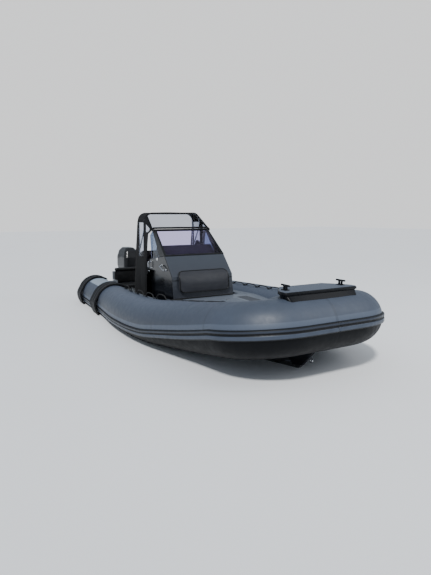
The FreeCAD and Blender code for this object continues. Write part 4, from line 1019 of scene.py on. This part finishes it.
def roof_row(x):
    """One section across the roof, from the starboard skirt to the port one."""
    t = max(0.0, (x - ROOF[1]) / (ROOF[2] - ROOF[1]))
    top, r, low = (a + (b - a) * t for a, b in (ROOF_TOP, ROOF_ROUND, ROOF_LOW))
    between = math.sin(math.pi * min(1.0, max(0.0, (x - 2.42) / 0.34)))
    side = [(ROOF_HALF, low + (top - r - low) * i / 4) for i in range(4)]
    side += [(ROOF_HALF - r + r * math.cos(a), top - r + r * math.sin(a))
             for a in (math.pi / 2 * i / 9 for i in range(10))]
    flat = [((ROOF_HALF - r) * (1 - 2 * i / 30), top) for i in range(1, 30)]
    outline = side + flat + [(-y, z) for y, z in reversed(side)]
    made = []
    for y, z in outline:
        crease = noise.noise(Vector((x * 7, y * 3.0, z * 5))) * 0.004
        slack = 0.004 + crease - 0.006 * between * (1 if z > top - 0.01 else 0.4)
        away = Vector((0, y, z - 1.4)).normalized()
        made.append(Vector((x, -y, z)) + away * max(slack, -0.003))
    return made


def add_roof():
    """Roof and front screen as one curved sheet, with a clear window sewn into the slope."""
    turn, foot = ROOF_STEPS
    xs = [ROOF[0] + (ROOF[1] - ROOF[0]) * i / turn for i in range(turn + 1)]
    xs += [ROOF[1] + (ROOF[2] - ROOF[1]) * i / foot for i in range(1, foot + 1)]
    rows = [roof_row(x) for x in xs]
    mesh = skin("roof", rows)
    roof = piece("canopy_sheet", mesh, "canvas", hides=["canopy_top", "canopy_windows"])
    mesh.materials.append(MATS["vinyl"])
    wide = len(rows[0]) - 1
    first, last = WINDOW_ROWS
    a, b = WINDOW_EDGE, wide - WINDOW_EDGE
    for n, poly in enumerate(mesh.polygons):
        i, j = divmod(n, wide)
        poly.material_index = 1 if first <= i < last and a <= j < b else 0
    thicken(roof, 0.0025)
    hems = [rows[0], rows[turn], rows[-1], [row[0] for row in rows], [row[-1] for row in rows]]
    pane = rows[first:last + 1]
    binding = [row[a] for row in pane] + pane[-1][a + 1:b + 1] + [row[b] for row in pane[::-1]]
    binding += pane[0][a:b][::-1]
    pipe("canopy_hems", hems, 0.0045, "canvas", rounds=2)
    pipe("window_binding", [binding], 0.004, "trim", rounds=2)


# The curtain's cut and its two panes, as x and z
CURTAIN = [(2.06, 0.30), (2.85, 0.30), (2.905, 1.15), (2.95, 1.40), (3.00, 1.64), (3.15, 1.69),
           (3.205, 1.725), (2.783, 1.89), (2.385, 1.89)]
CURTAIN_PANES = [
    [(2.44, 1.17), (2.725, 1.17), (2.75, 1.86), (2.44, 1.86)],
    [(2.88, 1.668), (2.985, 1.668), (3.085, 1.712), (3.10, 1.745), (2.88, 1.832)],
]
CURTAIN_ZIP = [(2.80, 0.34), (2.80, 0.9), (2.815, 1.5), (2.82, 1.86)]


def inside(p, loop):
    hit = False
    for (x0, y0), (x1, y1) in zip(loop, loop[1:] + loop[:1]):
        if (y0 > p[1]) != (y1 > p[1]) and p[0] < x0 + (x1 - x0) * (p[1] - y0) / (y1 - y0):
            hit = not hit
    return hit


def sewn(name, outline, panes, lift, gap=0.035):
    """A flat pattern cut into small faces along its outline and its panes, lifted into place."""
    points, edges = [], []
    for loop in [outline] + panes:
        line = dense([Vector(p) for p in loop], gap)
        base = len(points)
        points += line
        edges += [(base + i, base + (i + 1) % len(line)) for i in range(len(line))]
    xs, zs = [p.x for p in points], [p.y for p in points]
    rim = list(points)
    for i in range(1, int((max(xs) - min(xs)) / gap) + 1):
        for j in range(1, int((max(zs) - min(zs)) / gap) + 1):
            p = Vector((min(xs) + i * gap + (j % 2) * gap / 2, min(zs) + j * gap))
            if inside(p, outline) and min((p - q).length_squared for q in rim) > (gap * 0.5) ** 2:
                points.append(p)
    flat, _, faces, *_ = geometry.delaunay_2d_cdt(points, edges, [], 1, 1e-6)
    kept, clear = [], []
    for face in faces:
        mid = sum((flat[v] for v in face), Vector((0, 0))) / len(face)
        if inside(mid, outline):
            kept.append(face)
            clear.append(any(inside(mid, pane) for pane in panes))
    mesh = new_mesh(name, [lift(v.x, v.y) for v in flat], kept)
    for poly, pane in zip(mesh.polygons, clear):
        poly.material_index = 1 if pane else 0
    return mesh


def add_curtains():
    """Side curtains that hang from the roof, each with two clear panes and a bound edge."""
    for side, word in SIDES:
        def lift(x, z, side=side):
            belly = math.sin(math.pi * min(1.0, max(0.0, (z - 0.3) / 1.6)))
            fold = 0.5 + 0.5 * noise.noise(Vector((x * 8 + 3 * side, 0.4, z * 1.6)))
            fine = 0.5 + 0.5 * noise.noise(Vector((x * 5, 2.0 + side, z * 9)))
            low = smooth(1.7, 0.6, z)
            return Vector((x, side * (0.6205 + 0.007 * belly + 0.010 * fold * low + 0.003 * fine), z))

        mesh = sewn("curtain", CURTAIN, CURTAIN_PANES, lift)
        curtain = piece(f"curtain_{word}", recalc(mesh), "canvas", hides=[f"canopy_curtain_{word}"])
        mesh.materials.append(MATS["vinyl"])
        thicken(curtain, 0.002)
        loops = [dense([Vector(p) for p in loop], 0.05) for loop in [CURTAIN] + CURTAIN_PANES]
        bound = [[lift(p.x, p.y) for p in loop] for loop in loops]
        pipe(f"curtain_{word}_binding", bound, 0.0042, "canvas", cyclic=True, rounds=2)
        line = [lift(x, z) + ACROSS * side * 0.003 for x, z in CURTAIN_ZIP]
        pipe(f"curtain_{word}_zip", [dense(line, 0.08, False)], 0.005, "trim", rounds=2)


# Tube gear

def tube_domes(name, side, spots, size, mat):
    """Low moulded patches over the tube; spots are (distance, angle) and size is length, width, height."""
    length, width, height = size
    verts, faces = [], []
    n = 10                          # quads along each side of a patch
    for s0, a0 in spots:
        base = len(verts)
        for i in range(n + 1):
            for j in range(n + 1):
                u, v = 2 * i / n - 1, 2 * j / n - 1
                rise = height * (1 - abs(u) ** 4) * (1 - abs(v) ** 4)
                a = a0 + math.degrees(v * width / 2 / TUBE_R)
                pull = math.sqrt(1 - v * v / 3)
                verts.append(on_tube(side, s0 + u * pull * length / 2, a, rise + 0.0005)[0])
        for i in range(n):
            for j in range(n):
                k = base + i * (n + 1) + j
                faces.append((k, k + 1, k + n + 2, k + n + 1))
    thicken(piece(name, recalc(new_mesh(name, verts, faces)), mat), 0.002, -1)


GRAB_FROM, GRAB_TO, GRAB_LOOPS, GRAB_ANGLE = 2.88, 6.44, 8, -20
LASHING_X = (5.62, 5.86, 6.10)
LASHING_POINT = [(0, 0.014), (0.016, 0.013), (0.022, 0.008), (0.036, 0.003), (0.038, 0)]
VALVE_X = (1.7, 3.4, 5.3)
VALVE = [(0, 0.010), (0.012, 0.010), (0.014, 0.006), (0.026, 0.005), (0.030, 0)]
# One rope loop: columns share of its span, millimetres over the skin
LOOP = [(0.0, 12), (0.06, 12), (0.12, 14), (0.16, 34), (0.22, 64), (0.34, 80), (0.5, 84), (0.66, 80),
        (0.78, 64), (0.84, 34), (0.88, 14), (0.94, 12), (1.0, 12)]


def add_grab_lines():
    """Eight rope loops along each tube, held down by moulded patches, lower at the bow and to port."""
    for side, word in SIDES:
        places = [station_at(side, GRAB_FROM + (GRAB_TO - GRAB_FROM) * i / GRAB_LOOPS)
                  for i in range(GRAB_LOOPS + 1)]
        lines = []
        for s0, s1 in zip(places, places[1:]):
            line = []
            low = max(smooth(4.7, 5.2, station(side, s0)[0].x), 0.6 if side > 0 else 0.0)
            for share, up in LOOP:
                a = GRAB_ANGLE + (7 - 15 * low) * math.sin(math.pi * share)
                height = (12 + (up - 12) * (1 - 0.8 * low)) / 1000
                line.append(on_tube(side, s0 + (s1 - s0) * share, a, height)[0])
            lines.append(line)
        pipe(f"grab_rope_{word}", lines, 0.0095, "rope", hides=[f"grab_line_{word}"])
        spots = [(s, GRAB_ANGLE) for s in places]
        tube_domes(f"grab_patches_{word}", side, spots, (0.105, 0.068, 0.024), "patch")
    spots = [tube_spot(1, station_at(1, x), -52) for x in LASHING_X]
    scatter("lashing_points", spots, LASHING_POINT, "light")
    spots = [tube_spot(side, station_at(side, x), -66) for side, _ in SIDES for x in VALVE_X]
    scatter("inflation_valves", spots, VALVE, "trim")


# Fittings

STEP_PLAN = [(6.885, 0.0), (6.885, 0.33), (7.00, 0.43), (7.14, 0.535), (7.20, 0.552)]
# Columns height, front edge, how far the sides flare
STEP_LEVELS = [
    (0.82, 7.395, -0.05), (0.945, 7.390, -0.04), (1.045, 7.302, -0.008), (1.058, 7.296, 0.0),
    (1.062, 7.306, 0.014), (1.084, 7.310, 0.014), (1.094, 7.304, 0.008), (1.098, 7.294, 0.0),
]


def add_bow_step():
    """Moulded step over the nose, with a lip above its dark face, and the cloth apron behind it."""
    rows = []
    for z, front, flare in STEP_LEVELS:
        half = [(x - flare * 0.3, y + flare) if y else (x - flare * 0.3, y) for x, y in STEP_PLAN]
        half += [(front - 0.035, 0.552 + flare), (front - 0.008, 0.530 + flare), (front, 0.50 + flare * 0.9)]
        half += [(front + 0.004, 0.25), (front + 0.006, 0.0)]
        loop = [Vector((x, y, z)) for x, y in half] + [Vector((x, -y, z)) for x, y in reversed(half[1:-1])]
        rows.append(dense(loop, 0.03) if not rows else loop)
    rows[0] = [Vector((p.x, p.y, STEP_LEVELS[0][0])) for p in rows[1]]
    top = rows[-1]
    middle = sum(top, Vector()) / len(top)
    rows += [[p.lerp(middle, k) for p in top] for k in (0.05, 0.5, 0.999)]
    mesh = recalc(skin("step", rows, loop=True), weld=True)
    step = piece("bow_step_moulding", mesh, "step", hides=["bow_step"])
    bevel(step, 0.003, 2, 40.0)
    rows = []
    for i in range(21):
        x = 6.62 + 0.36 * i / 20
        aft = 0.10 * (1 - i / 20) ** 2
        rows.append([Vector((x, 0.72 * v, 0.985 - 0.10 * v * v - aft + 0.03 * (1 - abs(v))))
                     for v in (-1 + j / 12 for j in range(25))])
    thicken(piece("bow_apron", skin("apron", rows), "patch_cloth"), 0.006, -1)


def frame_gap(node, lo, hi, body):
    """The rubber seal that shows in the gap round a lid."""
    loop = [Vector(((lo.x + hi.x) / 2 + x, (lo.y + hi.y) / 2 + y, hi.z - 0.006))
            for x, y in plan_loop(hi.x - lo.x + 0.003, hi.y - lo.y + 0.003, 0.012)]
    pipe(f"{node}_seal", [dense(loop, 0.05)], 0.0022, "trim", body, cyclic=True, rounds=1)


def stuck_to(node, seeds):
    """The nearest points of a node's surface to the seeds, with the directions off it."""
    made = []
    for seed in seeds:
        _, place, away, _ = NODES[node].closest_point_on_mesh(Vector(seed))
        made.append((place.copy(), away.copy()))
    return made


DECK_X, DECK_Y = (1, 0, 0), (0, 1, 0)
TREADS = [(4.98, 0.625, 1.10, 0.21), (4.98, -0.625, 1.10, 0.21), (5.80, 0.0, 0.26, 0.72)]
GUARD_BOLTS = ((7.036, 0.27), (7.11, 0.285), (7.16, 0.31), (6.885, 0.15), (6.875, 0.085), (7.03, 0.165),
               (6.90, 0.30))        # x and z
LAMP = [(0, 0.022), (0.016, 0.020), (0.024, 0.014), (0.027, 0.004), (0.032, 0.003), (0.033, 0)]
RAIL_FEET = ((3.06, 1.105), (3.06, 0.985), (3.64, 1.08), (3.83, 1.01))       # x and z
FOOT = [(0.012, 0.010), (0.016, 0.008), (0.026, 0.004), (0.028, 0)]
LATCH = [(0, 0.004), (0.012, 0.004), (0.016, 0.007), (0.028, 0.006), (0.032, 0)]
SCREW = [(0, 0.0016), (0.003, 0.0015), (0.0045, 0.0)]
CONSOLE_HALF = 0.612


def guard_bolt(side, x, z):
    """A place near the stem guard, whose half width falls toward its fore edge."""
    return x, side * 0.8 * (6.984 + 0.9286 * (z - 0.08) - x), z


def add_lid_trim(node, body):
    lo, hi = span(node)
    wide = (hi.y - lo.y) * 0.28
    frame_gap(node, lo, hi, body)
    top = hi.z - 0.001
    scatter(f"{node}_latches", [((lo.x + 0.06, y, top), UP) for y in (-wide, wide)], LATCH, "chrome", body)
    for k, y in enumerate((-wide, wide)):
        x = hi.x - 0.045
        plate(f"{node}_leaf_{k}", (x, y, top), DECK_X, DECK_Y, (0.05, 0.07, 0.004), "chrome", body, 0.006,
              0.001)
        screws = [((x + dx, y + dy, top + 0.004), UP) for dx in (-0.013, 0.013) for dy in (-0.02, 0.02)]
        scatter(f"{node}_screws_{k}", screws, SCREW, "dark_steel", body, count=10)


def add_deck_fittings():
    for k, (x, y, long, wide) in enumerate(TREADS):
        plate(f"tread_{k}", (x, y, 0.5195), DECK_X, DECK_Y, (long, wide, 0.003), "tread", "boat", 0.04, 0.001)
    for k, side in enumerate((-1, 1)):
        plate(f"stern_tread_{k}", (0.25, side * 0.70, 0.2995), DECK_X, DECK_Y, (0.36, 0.26, 0.003), "tread",
              "boat", 0.03, 0.001)
    bolts = [guard_bolt(side, x, z) for side in (-1, 1) for x, z in GUARD_BOLTS]
    scatter("guard_bolts", stuck_to("stem_guard", bolts), BOLT, "chrome")
    lamps = [((3.43, side * CONSOLE_HALF, 1.175), (0, side, 0)) for side in (-1, 1)]
    scatter("side_lamps", lamps, LAMP, "light", count=24)
    feet = [((x, side * CONSOLE_HALF, z), (0, side, 0)) for pair in (RAIL_FEET[:2], RAIL_FEET[2:])
            for side in (-1, 1) for x, z in pair]
    scatter("rail_feet", feet, FOOT, "chrome", count=24)
    add_lid_trim("foredeck_hatch", "foredeck_lid")
    add_lid_trim("anchor_hatch", "anchor_lid")


def console_top(x):
    return 1.150 + 0.118 * (x - 3.010) / 0.780


# Turned profiles: columns radius, height
DIAL = [(0, 0.006), (0.034, 0.006), (0.036, 0.011), (0.041, 0.010), (0.043, 0)]
SWITCH = [(0, 0.009), (0.008, 0.009), (0.011, 0.006), (0.015, 0.003), (0.016, 0)]
COMPASS = [(0, 0.092), (0.015, 0.090), (0.030, 0.082), (0.041, 0.066), (0.046, 0.046), (0.047, 0.034),
           (0.054, 0.030), (0.058, 0.014), (0.060, -0.004)]
CATCH = [(0, 0.010), (0.014, 0.009), (0.018, 0.004), (0.026, 0.003), (0.028, 0)]
ANODE = [(0, 0.012), (0.018, 0.011), (0.026, 0.006), (0.028, 0)]
# Rubber lines across the console: columns name, x, z, half length, radius
CONSOLE_LINES = (
    ("screen_gasket", 3.797, 1.2665, 0.606, 0.011), ("console_foot_bead", 4.1725, 0.527, 0.60, 0.010),
    ("console_joint", 4.1282, 0.850, 0.604, 0.006),
)


def add_helm():
    """Instruments on the dash, a compass on its top, trims round the console."""
    aft = Vector((-0.859, 0, 0.512))
    up = Vector((0.512, 0, 0.859))
    face = Vector((3.128, 0, console_top(3.128) + 0.114))
    for k, (y, w, h) in enumerate(((0.27, 0.30, 0.17), (-0.24, 0.22, 0.13))):
        at = face + ACROSS * y
        plate(f"display_{k}", at + aft * 0.001, -ACROSS, up, (w, h, 0.014), "trim", corner=0.014, edge=0.005)
        plate(f"display_glass_{k}", at + aft * 0.015, -ACROSS, up, (w - 0.04, h - 0.035, 0.002),
              "screen_dark", corner=0.006, edge=0.0008)
    scatter("dials", [(face + ACROSS * y, aft) for y in (0.02, -0.42, 0.49)], DIAL, "chrome", count=28)
    helm_out = Vector((-0.915315, 0, 0.402739))
    helm_up = Vector((0.402739, 0, 0.915315))
    base = Vector((2.900, 0, 0.900))
    keys = [(base + helm_up * h + ACROSS * y, helm_out) for h in (0.09, 0.14)
            for y in (-0.25, -0.30, -0.35, -0.40, -0.45)]
    scatter("switches", keys, SWITCH, "trim", count=14)
    scatter("compass", [((3.345, 0.27, console_top(3.345) + 0.2185), UP)], COMPASS, "cowl", count=36)
    for name, x, z, half, radius in CONSOLE_LINES:
        pipe(name, [[Vector((x, y, z)) for y in (-half, -0.2, 0.2, half)]], radius, "trim")
    lo, hi = span("console_door")
    place = (lo.x + 0.001, lo.y + 0.05, (lo.z + hi.z) / 2)
    scatter("door_catch", [(place, (-1, 0, 0))], CATCH, "chrome", "door")


def cowl_plate(name, seed, sink, size, mat, corner, edge):
    """A plate set flat on the cowl at the point nearest the seed."""
    (place, away), = stuck_to("outboard_cowl", [seed])
    right = UP.cross(away)
    plate(name, place - away * sink, right, away.cross(right), size, mat, "outboard_steer", corner, edge)


def add_engine_trim():
    spots = [((0.02, side * 0.120, z), (0, side, 0)) for side, _ in SIDES for z in (0.31, 0.355)]
    spots += [((-0.035, side * 0.120, z), (0, side, 0)) for side, _ in SIDES for z in (-0.02, 0.12, 0.25)]
    scatter("bracket_bolts", spots, BOLT, "chrome")
    for side, word in SIDES:
        for k, z in enumerate((0.985, 0.94, 0.895)):
            cowl_plate(f"intake_{word}_{k}", (-0.50, side * 0.30, z), 0.001, (0.17, 0.022, 0.007), "trim",
                       0.009, 0.003)
        cowl_plate(f"cowl_latch_{word}", (-0.28, side * 0.30, 0.60), 0.0, (0.09, 0.035, 0.010), "leg",
                   0.012, 0.004)
    anodes = stuck_to("outboard_leg", [(-0.42, side * 0.2, -0.36) for side, _ in SIDES])
    scatter("anodes", anodes, ANODE, "light", "outboard_steer")


# CAD nodes that are shown as they are, with their edges softened: width, segments, angle
BEVELS = {
    "windscreen_frame": (0.004,), "dash_panel": (0.003,), "outboard_cowl": (0.006, 2, 25.0),
    "outboard_leg": (0.006,), "helm_seat_base": (0.006,), "bench_base": (0.004,), "console_door": (0.002,),
    "foredeck_hatch": (0.004, 3), "anchor_hatch": (0.004, 3),
}

add_camera()
add_world()
add_floor()
add_light("key", "SUN", 3.1, (10.5, -6, 11.5), (3.5, 0, 0), 7.0)
add_light("fill", "AREA", 260.0, (12, 6, 7), (4, 0, 0.5), 6.0)

for name, mat in NODE_MATS.items():
    node = NODES[name]
    node.data.materials.clear()
    node.data.materials.append(MATS[mat])
add_tubes()
add_strakes()
add_fenders()
add_cushions()
swell_pads()
add_roof()
add_curtains()
add_grab_lines()
add_bow_step()
add_deck_fittings()
add_helm()
add_engine_trim()
for name, values in BEVELS.items():
    bevel(NODES[name], *values)
